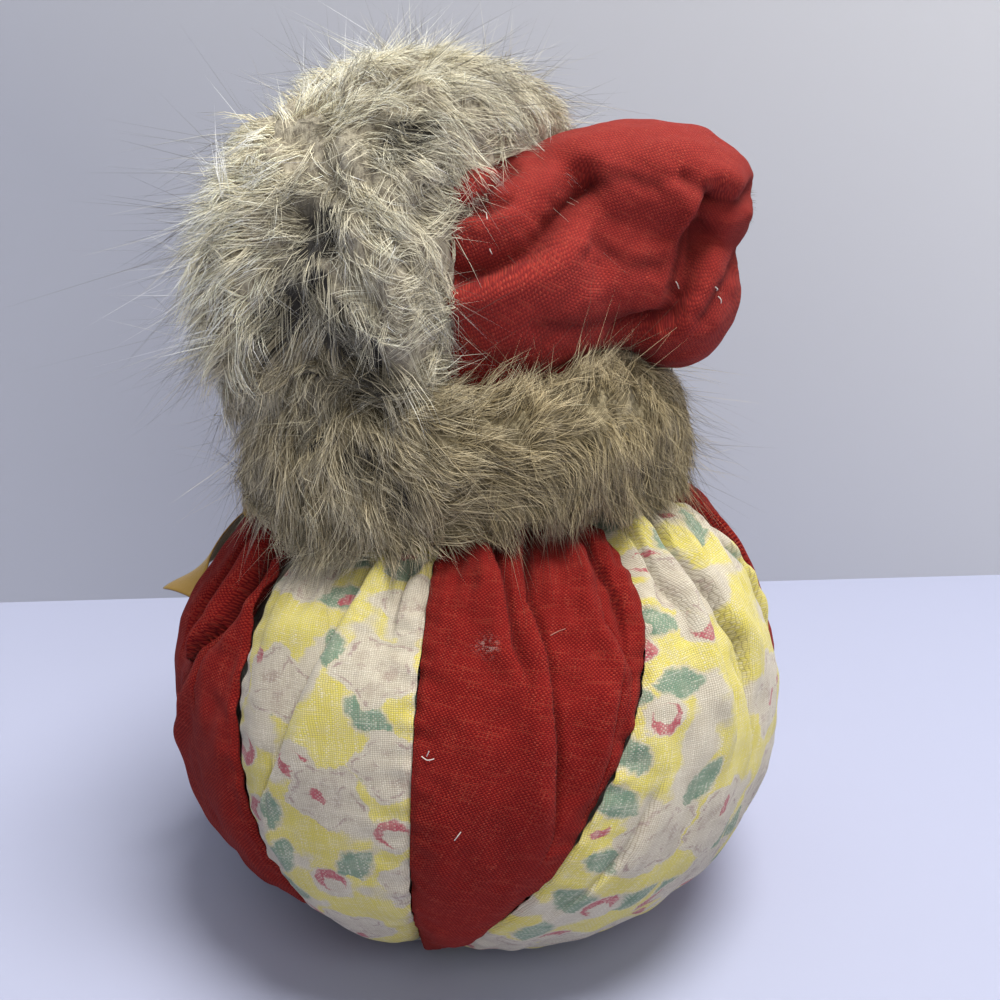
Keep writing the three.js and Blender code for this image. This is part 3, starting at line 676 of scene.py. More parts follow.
linen = red_linen()
cotton = floral_cotton()
muslin_skin = muslin()
fur = fur_material("fur_strands", 0.6)
trim_pelt = pelt_material("trim_pelt", rgb(0.17, 0.145, 0.11), rgb(0.50, 0.45, 0.34))
collar_pelt = pelt_material("collar_pelt", rgb(0.10, 0.08, 0.045), rgb(0.34, 0.285, 0.175))
wadding = wadding_material()
satin = ribbon_satin()
red_thread = thread_material("red_thread", rgb(0.16, 0.012, 0.012), rgb(0.36, 0.04, 0.03))
white_thread = thread_material("white_thread", rgb(0.48, 0.42, 0.36), rgb(0.80, 0.76, 0.70))
faded_thread = thread_material("faded_thread", rgb(0.36, 0.12, 0.085), rgb(0.52, 0.24, 0.18))
dark_thread = thread_material("dark_thread", rgb(0.07, 0.03, 0.02), rgb(0.16, 0.07, 0.05))
bead = black_bead()


# Mesh helpers


def bell(x):
    """1 at the middle, falling to nothing past about 2."""
    return np.exp(-(x**2))


def smooth_step(low, high, x):
    t = np.clip((x - low) / (high - low), 0, 1)
    return t * t * (3 - 2 * t)


def ripple(points, size, seed, waves=9):
    """Smooth values of about -1 to 1 that change over the given size."""
    random = np.random.default_rng(seed)
    total = 0
    for _ in range(waves):
        direction = random.normal(size=points.shape[-1])
        direction /= np.linalg.norm(direction)
        rate = 2 * math.pi / size * random.uniform(0.55, 1.6)
        total = total + np.sin(points @ direction * rate + random.uniform(0, 2 * math.pi))
    return total / math.sqrt(waves / 2) / 1.6


def unit(vectors):
    return vectors / np.linalg.norm(vectors, axis=-1, keepdims=True)


def azimuth_of(points):
    return np.degrees(np.arctan2(points[:, 1], points[:, 0]))


def read_points(mesh):
    points = np.empty(len(mesh.vertices) * 3)
    mesh.vertices.foreach_get("co", points)
    return points.reshape(-1, 3)


def write_points(mesh, points):
    mesh.vertices.foreach_set("co", np.ascontiguousarray(points, np.float32).ravel())
    mesh.update()


def read_normals(mesh):
    normals = np.empty(len(mesh.vertices) * 3)
    mesh.vertices.foreach_get("normal", normals)
    return normals.reshape(-1, 3)


def keep_vector(mesh, name, values):
    attribute = mesh.attributes.new(name, "FLOAT_VECTOR", "POINT")
    attribute.data.foreach_set("vector", np.ascontiguousarray(values, np.float32).ravel())


def keep_value(mesh, name, values):
    attribute = mesh.attributes.new(name, "FLOAT", "POINT")
    attribute.data.foreach_set("value", np.ascontiguousarray(values, np.float32))


def mesh_from(bm, name):
    mesh = bpy.data.meshes.new(name)
    bm.to_mesh(mesh)
    bm.free()
    return mesh


def cad_form(node):
    """A copy of a CAD node's mesh, merged."""
    bm = bmesh.new()
    bm.from_mesh(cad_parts[node].data)
    bmesh.ops.remove_doubles(bm, verts=bm.verts[:], dist=0.01 * mm)
    return bm


def shade_smooth(mesh, smooth=True):
    mesh.polygons.foreach_set("use_smooth", [smooth] * len(mesh.polygons))


def new_object(name, data):
    item = bpy.data.objects.new(name, data)
    bpy.context.scene.collection.objects.link(item)
    return item


def evaluated(piece):
    return piece.evaluated_get(bpy.context.evaluated_depsgraph_get())


def add_piece(name, mesh, material, body, smooth=True):
    mesh.materials.clear()
    mesh.materials.append(material)
    shade_smooth(mesh, smooth)
    piece = new_object(name, mesh)
    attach(piece, body)
    return piece


def live_modifier(piece, kind, **settings):
    modifier = piece.modifiers.new(kind.lower(), kind)
    for name, value in settings.items():
        setattr(modifier, name, value)
    return modifier


def applied_mesh(piece):
    """The piece's mesh with its modifiers applied, as a new mesh."""
    mesh = bpy.data.meshes.new_from_object(evaluated(piece))
    piece.modifiers.clear()
    return mesh


def apply_modifiers(piece):
    old = piece.data
    piece.data = applied_mesh(piece)
    bpy.data.meshes.remove(old)


def even_skin(piece, voxel, factor, passes):
    """Joins a piece's shells into one even skin, and smooths it."""
    live_modifier(piece, "REMESH", mode="VOXEL", voxel_size=voxel)
    apply_modifiers(piece)
    live_modifier(piece, "SMOOTH", factor=factor, iterations=passes)
    apply_modifiers(piece)


# Body gores


def body_reach(polar_angle):
    across = np.sin(polar_angle) / body_radius
    up = np.abs(np.cos(polar_angle)) / waist_to_crown
    plain = (across**body_fullness + up**body_fullness) ** (-1 / body_fullness)
    past_rim = np.maximum(0, polar_angle - np.arctan2(neck_rim, waist_to_crown - neck_dip))
    dip = np.maximum(0, 1 - past_rim / math.radians(neck_dip_span))
    return plain - neck_dip * dip * dip


def rim_polar_angle():
    low, high = 0.0, math.pi / 2
    for _ in range(50):
        middle = (low + high) / 2
        if body_reach(middle) * math.sin(middle) < neck_rim:
            low = middle
        else:
            high = middle
    return low


rim_polar = rim_polar_angle()


def gore_direction(azimuth, up):
    """Directions from the waist's middle: up is 0 at the base pole and 1 at the neck's rim."""
    base_edge = math.radians(base_patch_span)
    from_base = base_edge + up * (math.pi - rim_polar - base_edge)
    lean = math.radians(base_lean) * (1 - np.minimum(1, up))
    turn = np.radians(azimuth)
    direction = np.stack(
        [np.sin(from_base) * np.cos(turn), np.sin(from_base) * np.sin(turn), -np.cos(from_base)], -1
    )
    across = math.radians(base_lean_azimuth)
    axis = np.array([math.sin(across), -math.cos(across), 0.0])
    cosine, sine = np.cos(lean)[..., None], np.sin(lean)[..., None]
    along_axis = (direction @ axis)[..., None]
    return direction * cosine + np.cross(axis, direction) * sine + axis * along_axis * (1 - cosine)


def seam_azimuth(seam, up):
    base, middle, neck = seam
    return base * (1 - up) * (1 - 2 * up) + middle * 4 * up * (1 - up) + neck * up * (2 * up - 1)


def pleat_height(across, up, span, pleats):
    """How far the pleats push the cloth out or draw it in, and how deep in creases it lies, as a mask for
    painted shade.
    """
    total, crease_shade = np.zeros_like(across), np.zeros_like(across)
    for points, depth, width in pleats:
        ups = [point[1] for point in points]
        middle = np.interp(up, ups, [point[0] for point in points])
        away = -(across - middle) * span / (width * mm)
        ends = smooth_step(ups[0] - 0.06, ups[0] + 0.07, up) * (1 - smooth_step(0.955, 1.0, up))
        if ups[-1] < 0.92:
            ends = ends * (1 - smooth_step(ups[-1] - 0.05, ups[-1] + 0.04, up))
        under = smooth_step(-0.20, 0.12, away)
        roll = 0.80 * bell((away + 1.2) / 1.6)
        valley = 0.85 * np.exp(-np.maximum(away, 0) / 1.9) + 0.35 * bell((away - 0.25) / 0.3)
        total += depth * mm * ends * (roll - valley * under)
        crease_shade = np.maximum(crease_shade, ends * min(1, depth / 2.4) * bell((away - 0.18) / 0.24))
    return total, crease_shade


def wave_height(across, up, span, length, places):
    total = np.zeros_like(across)
    for at_across, at_up, reach in places:
        away = np.hypot((across - at_across) * span, (up - at_up) * gore_height)
        rate = 2 * math.pi / (2.1 * mm)
        bent = 1.2 * ripple(np.stack([across * span, length], -1), 7 * mm, 77)
        total += 0.24 * mm * np.sin(length * rate + bent) * bell(away / (reach * mm))
    return total


def puff_height(across, up, span, puffs):
    total = np.zeros_like(across)
    for at_across, at_up, height, reach in puffs:
        away = np.hypot((across - at_across) * span, (up - at_up) * gore_height)
        total += height * mm * bell(away / (reach * mm))
    return total


def gore_surface(index, name, across, up):
    """Points of a gore's cloth, its flat coordinates in millimetres, and its depth in creases, for painted
    shade.
    """
    left = seams[index]
    right = seams[(index + 1) % len(seams)]
    if right[1] < left[1]:
        right = tuple(value + 360 for value in right)
    start, end = seam_azimuth(left, up), seam_azimuth(right, up)
    base_edge = math.radians(base_patch_span)
    pitch = base_edge + up * (math.pi - rim_polar - base_edge)
    row_radius = body_radius * np.sin(pitch)
    edge = np.degrees(seam_gap / row_radius)
    azimuth = start + edge + across * (end - start - 2 * edge)
    direction = gore_direction(azimuth, up)
    polar_angle = np.arccos(np.clip(direction[..., 2], -1, 1))
    span = row_radius * np.radians(end - start)
    gore_width = body_radius * math.radians(right[1] - left[1])
    from_seam = np.minimum(across, 1 - across) * span
    length = pitch_length * pitch

    rolled = 0.5 * bell(np.minimum(across, 1 - across) * gore_width / (5 * mm))
    draw = 1.8 * mm * (rolled + 0.5 * (1 - np.sin(np.pi * across)))
    tucked = 0.8 * mm * bell(from_seam / (0.8 * mm))
    fade = smooth_step(0, 0.12, up) * (1 - smooth_step(0.93, 1.0, up))
    place = waist + direction * body_radius
    puckers = 0.42 * mm * ripple(np.stack([from_seam * 0.5, length], -1), 5.5 * mm, index + 3)
    puckers = puckers * np.exp(-(from_seam / (4.5 * mm)))
    slack = 0.55 * mm * ripple(place * np.array([1.0, 1.0, 0.35]), 15 * mm, index + 20)
    slack = slack + 0.22 * mm * ripple(place * np.array([1.0, 1.0, 0.45]), 6 * mm, index + 40)
    gathers = 0.8 * mm * ripple(np.stack([span * across, length * 0.12], -1), 5.0 * mm, index + 60)
    gathers = gathers * smooth_step(0.62, 0.9, up)
    folds, crease_shade = pleat_height(across, up, span, gores[name])
    folds = folds + puff_height(across, up, span, gore_puffs.get(name, []))
    folds = folds + wave_height(across, up, span, length, gore_waves.get(name, []))
    reach = body_reach(polar_angle) + fade * (folds + puckers + slack + gathers - tucked - draw)
    down = np.minimum(direction[..., 2], -1e-6)
    floor = np.where(direction[..., 2] < 0, waist[2] / -down, np.inf)
    points = waist + direction * np.minimum(reach, floor)[..., None]
    cloth = np.stack([(across - 0.5) * span / mm, length / mm, np.zeros_like(span)], -1)
    return points, cloth, crease_shade


def turned_cloth(cloth, turn):
    """Flat coordinates of cloth, turned by an angle."""
    x, y = cloth[:, 0], cloth[:, 1]
    turned_x = x * math.cos(turn) - y * math.sin(turn)
    turned_y = x * math.sin(turn) + y * math.cos(turn)
    return np.stack([turned_x, turned_y, 0 * x], -1)


def gore_piece(name, index):
    bm = bmesh.new()
    bmesh.ops.create_grid(bm, x_segments=gore_columns, y_segments=gore_rows, size=0.5)
    mesh = mesh_from(bm, name + "_cloth")
    grid = read_points(mesh)
    even = grid[:, 0] + 0.5
    across = (even + 0.5 * (1 - np.cos(math.pi * even))) / 2
    points, cloth, crease_shade = gore_surface(index, name, across, grid[:, 1] + 0.5)
    write_points(mesh, points)
    red = "red" in name
    turn = math.radians(4 if red else -3) * (1 + index % 3)
    moved = np.array([97, 41, 0]) * index
    keep_vector(mesh, "cloth_mm", turned_cloth(cloth, turn) + moved)
    scuffed = np.zeros(len(points))
    if name == "gore_red_2":
        spot = gore_surface(index, name, np.array([0.275]), np.array([0.71]))[0][0]
        away = (points - spot) * np.array([1.0, 1.0, 1.5])
        scuffed = np.exp(-((np.linalg.norm(away, axis=1) / (2.4 * mm)) ** 4))
    keep_value(mesh, "scuff", scuffed)
    # Kept for painting shade deep in the pleats' folds.
    keep_value(mesh, "crease_shade", crease_shade)
    piece = add_piece(name + "_cloth", mesh, linen if red else cotton, "body")
    live_modifier(piece, "SOLIDIFY", thickness=cloth_thick, offset=-1.0)
    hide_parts(name)


def stitched_rim(name, node, material):
    """A round patch of cloth in the form of its CAD disc."""
    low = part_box(node)[0]
    bm = cad_form(node)
    bmesh.ops.subdivide_edges(bm, edges=bm.edges[:], cuts=2, use_grid_fill=True)
    mesh = mesh_from(bm, name)
    points = read_points(mesh)
    keep_vector(mesh, "cloth_mm", (points - np.array(low)) / mm)
    piece = add_piece(name, mesh, material, "body", smooth=False)
    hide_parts(node)


for gore_index, gore_name in enumerate(gores):
    gore_piece(gore_name, gore_index)
stitched_rim("base_patch_cloth", "base_patch", linen)


# Stuffing


def stuffing_piece(name, node, body, voxel, inset, bulge):
    """Loose filling in the shape of its CAD solid, a little lumpy."""
    piece = add_piece(name, mesh_from(cad_form(node), name), wadding, body)
    live_modifier(piece, "REMESH", mode="VOXEL", voxel_size=voxel)
    apply_modifiers(piece)
    points, normals = read_points(piece.data), read_normals(piece.data)
    lumps = bulge * ripple(points, 9 * mm, 5) - inset
    if node == "body_stuffing":
        lumps = lumps - 3 * mm * smooth_step(58 * mm, 80 * mm, points[:, 2])
    write_points(piece.data, points + normals * lumps[:, None])
    shade_smooth(piece.data)
    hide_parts(node)


stuffing_piece("body_filling", "body_stuffing", "body", 3 * mm, 4.2 * mm, 0.5 * mm)
stuffing_piece("head_filling", "head_stuffing", "head", 2 * mm, 0.3 * mm, 0.12 * mm)


# Head: hood, face and features


def face_point(azimuth, rise, reach):
    """A point turned to the doll's left and raised, at a distance from the head's middle."""
    turn, lift = math.radians(azimuth), math.radians(rise)
    return head_centre + Vector(
        (
            reach * math.sin(turn) * math.cos(lift),
            -reach * math.cos(turn) * math.cos(lift),
            reach * math.sin(lift),
        )
    )


def head_ball():
    bm = bmesh.new()
    bmesh.ops.create_uvsphere(bm, u_segments=96, v_segments=64, radius=head_radius)
    bmesh.ops.translate(bm, vec=head_centre, verts=bm.verts[:])
    return bm


def hood_piece():
    """The cloth ball round the head, open at the face, gathered down into the neck."""
    bm = head_ball()
    inside = [
        v
        for v in bm.verts
        if v.co.y < head_centre.y and math.hypot(v.co.x, v.co.z - head_centre.z) < face_radius
    ]
    bmesh.ops.delete(bm, geom=inside, context="VERTS")
    reach = hood_neck_radius + 0.2 * mm
    below = [v for v in bm.verts if math.hypot(v.co.x, v.co.y) < reach and v.co.z < head_centre.z]
    bmesh.ops.delete(bm, geom=below, context="VERTS")
    open_edges = [e for e in bm.edges if e.is_boundary and e.verts[0].co.z < head_centre.z - face_radius]
    collar = bmesh.ops.extrude_edge_only(bm, edges=open_edges)["geom"]
    for v in [v for v in collar if isinstance(v, bmesh.types.BMVert)]:
        flat = Vector((v.co.x, v.co.y, 0)).normalized() * hood_neck_radius
        v.co = Vector((flat.x, flat.y, rim_height - 3 * mm))
    mesh = mesh_from(bm, "hood_cloth")
    points = read_points(mesh)
    from_head = points - np.array(head_centre)
    around = np.arctan2(from_head[:, 1], from_head[:, 0]) * head_radius
    rise = np.arcsin(np.clip(from_head[:, 2] / head_radius, -1, 1)) * head_radius
    wrinkles = 0.35 * mm * (ripple(points * np.array([1, 1, 0.4]), 7 * mm, 90) - 0.9)
    outward = unit(from_head)
    write_points(mesh, points + outward * wrinkles[:, None])
    keep_vector(mesh, "cloth_mm", np.stack([around / mm, rise / mm, 0 * rise], -1))
    piece = add_piece("hood_cloth", mesh, linen, "head")
    live_modifier(piece, "SOLIDIFY", thickness=cloth_thick, offset=-1.0)
    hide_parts("hood")


def face_piece():
    """A muslin face with soft cheeks, drawn in a little at the eyes."""
    bm = head_ball()
    outside = [
        v
        for v in bm.verts
        if v.co.y > head_centre.y
        or math.hypot(v.co.x, v.co.z - head_centre.z) > face_radius - 0.1 * mm
    ]
    bmesh.ops.delete(bm, geom=outside, context="VERTS")
    bmesh.ops.subdivide_edges(bm, edges=bm.edges[:], cuts=1, use_grid_fill=True)
    mesh = mesh_from(bm, "face_muslin")
    points = read_points(mesh)
    outward = unit(points - np.array(head_centre))
    shape = np.zeros(len(points))
    blush = np.zeros(len(points))
    for side in (-1, 1):
        eye = np.array(face_point(eye_azimuth * side, eye_rise, head_radius))
        cheek = np.array(face_point(24 * side, -8, head_radius))
        shape -= 0.9 * mm * bell(np.linalg.norm(points - eye, axis=1) / (3.2 * mm))
        shape += 1.1 * mm * bell(np.linalg.norm(points - cheek, axis=1) / (5.5 * mm))
        blush += 0.55 * bell(np.linalg.norm(points - cheek, axis=1) / (4.5 * mm))
    write_points(mesh, points + outward * shape[:, None])
    keep_vector(mesh, "cloth_mm", points[:, [0, 2, 1]] / mm)
    keep_value(mesh, "blush", blush)
    piece = add_piece("face_muslin", mesh, muslin_skin, "head")
    live_modifier(piece, "SOLIDIFY", thickness=cloth_thick, offset=-1.0)
    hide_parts("face_cloth")


def eye_piece(node, side):
    bm = bmesh.new()
    bmesh.ops.create_uvsphere(bm, u_segments=28, v_segments=20, radius=eye_radius)
    bmesh.ops.scale(bm, vec=(1, 0.8, 1), verts=bm.verts[:])
    turn = Matrix.Rotation(math.radians(eye_azimuth * side), 3, "Z")
    bmesh.ops.rotate(bm, matrix=turn, verts=bm.verts[:])
    place = face_point(eye_azimuth * side, eye_rise, head_radius + 0.4 * mm)
    bmesh.ops.translate(bm, vec=place, verts=bm.verts[:])
    name = node + "_bead"
    piece = add_piece(name, mesh_from(bm, name), bead, "head")
    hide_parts(node)


def nose_piece():
    bm = bmesh.new()
    bmesh.ops.create_uvsphere(bm, u_segments=40, v_segments=28, radius=nose_radius)
    centre = face_point(0, 0, head_radius + nose_out)
    bmesh.ops.translate(bm, vec=centre, verts=bm.verts[:])
    mesh = mesh_from(bm, "nose_pad")
    points = read_points(mesh)
    outward = points - np.array(centre)
    lumps = 0.15 * mm * ripple(points, 3 * mm, 4)
    write_points(mesh, points + outward / nose_radius * lumps[:, None])
    keep_vector(mesh, "cloth_mm", points[:, [0, 2, 1]] / mm)
    keep_value(mesh, "blush", np.full(len(points), 0.35))
    piece = add_piece("nose_pad", mesh, muslin_skin, "head")
    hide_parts("nose")


def tube(name, route, radius, material, body):
    """A short thread along a route, closed at its ends."""
    curve = bpy.data.curves.new(name, "CURVE")
    curve.dimensions = "3D"
    curve.bevel_depth = radius
    curve.bevel_resolution = 1
    curve.use_fill_caps = True
    spline = curve.splines.new("POLY")
    spline.points.add(len(route) - 1)
    for point, place in zip(spline.points, route):
        point.co = (*place, 1.0)
    holder = new_object(name, curve)
    mesh = bpy.data.meshes.new_from_object(evaluated(holder))
    bpy.data.objects.remove(holder)
    bpy.data.curves.remove(curve)
    return add_piece(name, mesh, material, body)


def smile_piece():
    """A calm stitched mouth."""
    route = []
    for step in range(13):
        share = step / 12 * 2 - 1
        route.append(
            face_point(mouth_azimuth * share, mouth_rise + 2.5 * share * share, head_radius + 0.3 * mm)
        )
    tube("mouth_stitch", route, mouth_radius, dark_thread, "head")


hood_piece()
face_piece()
eye_piece("eye_left", 1)
eye_piece("eye_right", -1)
nose_piece()
smile_piece()


# Cap


def cap_axes():
    turn = math.radians(cap_azimuth - 90)
    side = np.array([math.cos(turn), math.sin(turn), 0.0])
    along = np.array([-math.sin(turn), math.cos(turn), 0.0])
    return along, side, np.array([0.0, 0.0, 1.0])


cap_along, cap_side, cap_up = cap_axes()
cap_origin = np.array([0.0, 0.0, rim_height])


def cap_point(along, side, up):
    return cap_origin + (cap_along * along + cap_side * side + cap_up * up) * mm


def cap_coordinates(points):
    """Along, side and up of points, in millimetres."""
    local = (points - cap_origin) / mm
    return local @ cap_along, local @ cap_side, local @ cap_up


# Creases on the cap's near side: points (along, up), depth and width in millimetres.
cap_creases = [
    ([(-4, 46.2), (2.1, 48.2), (7.9, 50.6), (12.4, 53.0), (16.2, 56.2), (18.4, 59.7)], 4.6, 2.3),
    ([(5.6, 62.5), (3.5, 59.9), (1.6, 56.7)], 2.2, 1.4),
    ([(-3.5, 55.2), (1.6, 56.2), (5.0, 57.2)], 1.3, 1.2),
    ([(43, 57.5), (42.2, 55.0), (40.7, 50.0), (38.2, 41.5), (34.8, 36.2), (26.3, 33.2)], 3.6, 1.7),
    ([(39.5, 53.6), (37.0, 46.5), (35.5, 40.5)], 1.7, 1.2),
    ([(41.0, 55.2), (46.7, 55.9), (50.3, 57.2)], 2.0, 1.3),
    ([(37.0, 61.2), (41.2, 58.2), (43.1, 56.2)], 1.5, 1.6),
    ([(47.5, 44.0), (43.6, 39.6), (41.0, 36.0)], 1.1, 1.4),
    ([(20.0, 60.0), (26.0, 61.5), (32.0, 60.5)], 0.9, 2.6),
    ([(12.0, 37.5), (20.0, 36.0), (28.0, 37.0)], 0.8, 2.4),
    ([(22.0, 50.0), (27.0, 46.5), (33.0, 46.0)], 0.6, 2.2),
]


def line_distance(along, up, points):
    """Distance from places on the near side to a line through points, and how far along it."""
    best = np.full(len(along), 1e9)
    for (a0, u0), (a1, u1) in zip(points[:-1], points[1:]):
        step_a, step_u = a1 - a0, u1 - u0
        t = ((along - a0) * step_a + (up - u0) * step_u) / (step_a**2 + step_u**2)
        t = np.clip(t, 0, 1)
        best = np.minimum(best, np.hypot(along - a0 - t * step_a, up - u0 - t * step_u))
    return best


def cap_cloth(along, side, up):
    """Flat coordinates of the cap's cloth: round its axis, and over its end."""
    around = np.arctan2(up - cap_axis_up, side) * cap_cloth_radius
    end_share = np.clip((along - cap_end_start) / cap_end_radius, 0, 0.999)
    along = np.minimum(along, cap_end_start) + cap_end_radius * np.arcsin(end_share)
    return turned_cloth(np.stack([along, around], -1), math.radians(cap_cloth_turn))


def cap_piece():
    """The flopped bag: joined lobes, puffed between the stitches that hold its folds."""
    bm = bmesh.new()
    frame_turn = Matrix((cap_along, cap_side, cap_up)).transposed()
    for along, side, up, half in cap_lobes:
        made = bmesh.ops.create_icosphere(bm, subdivisions=4, radius=1.0)["verts"]
        bmesh.ops.scale(bm, vec=[size * mm for size in half], verts=made)
        bmesh.ops.rotate(bm, matrix=frame_turn, verts=made)
        bmesh.ops.translate(bm, vec=Vector(cap_point(along, side, up)), verts=made)
    piece = add_piece("cap_linen", mesh_from(bm, "cap_linen"), linen, "head")
    even_skin(piece, cap_voxel, 0.6, 9)

    points, normals = read_points(piece.data), read_normals(piece.data)
    along, side, up = cap_coordinates(points)
    facing = smooth_step(-0.15, 0.45, normals @ cap_side) * smooth_step(-4, 4, side)
    moved = np.zeros(len(points))
    held = np.zeros(len(points))
    for route, depth, width in cap_creases:
        away = line_distance(along, up, route) / width
        moved += depth * (0.28 * bell((away - 2.3) / 1.2) - np.exp(-(away**1.7)))
        held = np.maximum(held, bell(away))
    moved = moved * facing
    far = smooth_step(-0.1, 0.5, -(normals @ cap_side))
    moved += far * 1.3 * ripple(points, 17 * mm, 71)
    write_points(piece.data, points + normals * (moved * mm)[:, None])

    puff_cloth(piece, held * facing, pressure=2.4, most=1.6 * mm)
    points, normals = read_points(piece.data), read_normals(piece.data)
    along, side, up = cap_coordinates(points)
    wrinkles = 0.26 * ripple(points * np.array([1.0, 1.0, 1.4]), 9.5 * mm, 33)
    wrinkles += 0.08 * ripple(points, 3.6 * mm, 34)
    nearest = np.full(len(points), 1e9)
    for route, _, _ in cap_creases:
        nearest = np.minimum(nearest, line_distance(along, up, route))
    pucker = 0.26 * ripple(points, 2.6 * mm, 35) * bell((nearest - 2.0) / 2.2)
    write_points(piece.data, points + normals * ((wrinkles + pucker) * mm)[:, None])
    keep_vector(piece.data, "cloth_mm", cap_cloth(along, side, up))
    # Painted shade deep in the cap's stitched folds.
    keep_value(piece.data, "crease_shade", held**3 * facing * 0.7)
    # Painted light: the whole cap is made paler, and its upward faces near the top more so.
    painted_top_light = smooth_step(0.05, 0.9, normals[:, 2]) * smooth_step(45, 62, up)
    keep_value(piece.data, "fade_and_painted_light", 0.30 + 0.12 * painted_top_light)
    live_modifier(piece, "SUBSURF", levels=1, render_levels=1)
    apply_modifiers(piece)
    shade_smooth(piece.data)
    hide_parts("cap_cloth")
    return piece


def puff_cloth(piece, held, pressure, most):
    """Lets cloth swell under pressure, held at its stitches, and moves no point further than most."""
    rest = read_points(piece.data)
    group = piece.vertex_groups.new(name="held")
    for index in np.nonzero(held > 0.35)[0]:
        group.add([int(index)], float(min(1, held[index])), "REPLACE")
    cloth = live_modifier(piece, "CLOTH")
    cloth.settings.use_pressure = True
    cloth.settings.uniform_pressure_force = pressure
    cloth.settings.effector_weights.gravity = 0
    cloth.settings.vertex_group_mass = "held"
    cloth.settings.tension_stiffness = 18
    cloth.settings.bending_stiffness = 0.4
    cloth.settings.quality = 4
    cloth.collision_settings.use_collision = False
    cloth.point_cache.frame_start = 1
    cloth.point_cache.frame_end = cap_puff_frames
    scene = bpy.context.scene
    for number in range(1, cap_puff_frames + 1):
        scene.frame_set(number)
    swollen = read_points(evaluated(piece).data)
    piece.modifiers.clear()
    piece.vertex_groups.clear()
    scene.frame_set(1)
    step = swollen - rest
    length = np.linalg.norm(step, axis=1)
    share = np.minimum(1, most / np.maximum(length, 1e-9))
    write_points(piece.data, rest + step * share[:, None])


def cap_filling(cloth):
    """The cap's stuffing, just inside its cloth."""
    mesh = cloth.data.copy()
    points, normals = read_points(mesh), read_normals(mesh)
    write_points(mesh, points - normals * 0.9 * mm)
    piece = add_piece("cap_filling", mesh, wadding, "head")
    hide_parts("cap_stuffing")


cap = cap_piece()
cap_filling(cap)


def surface_spot(piece, along, up, lift):
    """A point a little above the near side of a piece, at a place along and up."""
    origin = Vector(cap_point(along, 80, up))
    hit, place, normal, _ = piece.ray_cast(origin, -Vector(cap_side))
    return (place + normal * lift) if hit else origin


def cap_stitches():
    """Small tack stitches and thread ends that hold the cap's folds."""
    spots = [
        ((36.2, 42.2), (37.0, 40.8)),
        ((43.3, 41.4), (43.8, 40.4)),
        ((44.2, 39.2), (44.8, 37.9)),
        ((1.2, 56.0), (2.2, 55.2)),
        ((2.6, 50.3), (3.0, 49.4)),
    ]
    for number, (start, end) in enumerate(spots):
        route = []
        for step in range(5):
            share = step / 4
            along = start[0] + (end[0] - start[0]) * share
            up = start[1] + (end[1] - start[1]) * share
            lift = (0.12 + 0.35 * math.sin(math.pi * share)) * mm
            route.append(surface_spot(cap, along, up, lift))
        tube(f"cap_tack_stitch_{number + 1}", route, tack_radius, white_thread, "head")


cap_stitches()


# Fur


def hair_template():
    """One closed hair of three sides: each corner's share of its length, and its direction."""
    bm = bmesh.new()
    bmesh.ops.create_cone(bm, cap_ends=True, segments=3, radius1=1, radius2=0, depth=1)
    bmesh.ops.remove_doubles(bm, verts=bm.verts[:], dist=1e-4)
    for step in range(1, hair_joints):
        everything = bm.verts[:] + bm.edges[:] + bm.faces[:]
        plane = (0, 0, step / hair_joints - 0.5)
        bmesh.ops.bisect_plane(bm, geom=everything, plane_co=plane, plane_no=(0, 0, 1))
    bmesh.ops.recalc_face_normals(bm, faces=bm.faces[:])
    mesh = mesh_from(bm, "hair")
    corners = read_points(mesh)
    share = corners[:, 2] + 0.5
    width = np.hypot(corners[:, 0], corners[:, 1])
    direction = corners[:, :2] / np.maximum(width, 1e-6)[:, None]
    direction[width < 1e-5] = 0
    loops = np.array([loop.vertex_index for loop in mesh.loops])
    starts = np.array([face.loop_start for face in mesh.polygons])
    totals = np.array([face.loop_total for face in mesh.polygons])
    bpy.data.meshes.remove(mesh)
    return share, direction, loops, starts, totals


def hair_mesh(name, roots, middles, tips, radius, shades, seed):
    """Many hairs, each bent from its root past its middle to its tip.

    shades holds three colours for each hair, at its root, its middle and its tip.
    """
    share, direction, loops, starts, totals = hair_template()
    count = len(roots)
    random = np.random.default_rng(seed)
    t = share[None, :, None]
    bent = (1 - t) ** 2 * roots[:, None] + 2 * t * (1 - t) * middles[:, None] + t**2 * tips[:, None]
    run = unit(tips - roots)
    first = unit(np.cross(run, random.normal(size=(count, 3))))
    second = np.cross(run, first)
    wave = strand_wave * np.sin(2 * math.pi * (t[..., 0] * 1.2 + random.uniform(0, 1, (count, 1))))
    bent = bent + first[:, None] * (wave * t[..., 0])[..., None]
    thick = radius[:, None] * (1 - share[None]) ** 0.65
    around = first[:, None] * direction[None, :, 0:1] + second[:, None] * direction[None, :, 1:2]
    corners = bent + around * thick[..., None]
    size = len(share)
    mesh = bpy.data.meshes.new(name)
    mesh.vertices.add(count * size)
    mesh.vertices.foreach_set("co", corners.astype(np.float32).ravel())
    mesh.loops.add(count * len(loops))
    offsets = np.arange(count)[:, None]
    mesh.loops.foreach_set("vertex_index", (loops[None] + offsets * size).astype(np.int32).ravel())
    mesh.polygons.add(count * len(starts))
    mesh.polygons.foreach_set("loop_start", (starts[None] + offsets * len(loops)).astype(np.int32).ravel())
    mesh.polygons.foreach_set("loop_total", np.tile(totals, count).astype(np.int32))
    mesh.update(calc_edges=True)
    low = np.clip(t * 2, 0, 1)
    high = np.clip(t * 2 - 1, 0, 1)
    color = shades[:, 0:1] * (1 - low) + shades[:, 1:2] * low
    color = color * (1 - high) + shades[:, 2:3] * high
    color = np.concatenate([np.clip(color, 0, 1), np.ones(color.shape[:2] + (1,))], -1)
    layer = mesh.color_attributes.new("hair_color", "FLOAT_COLOR", "POINT")
    layer.data.foreach_set("color", color.astype(np.float32).ravel())
    return mesh


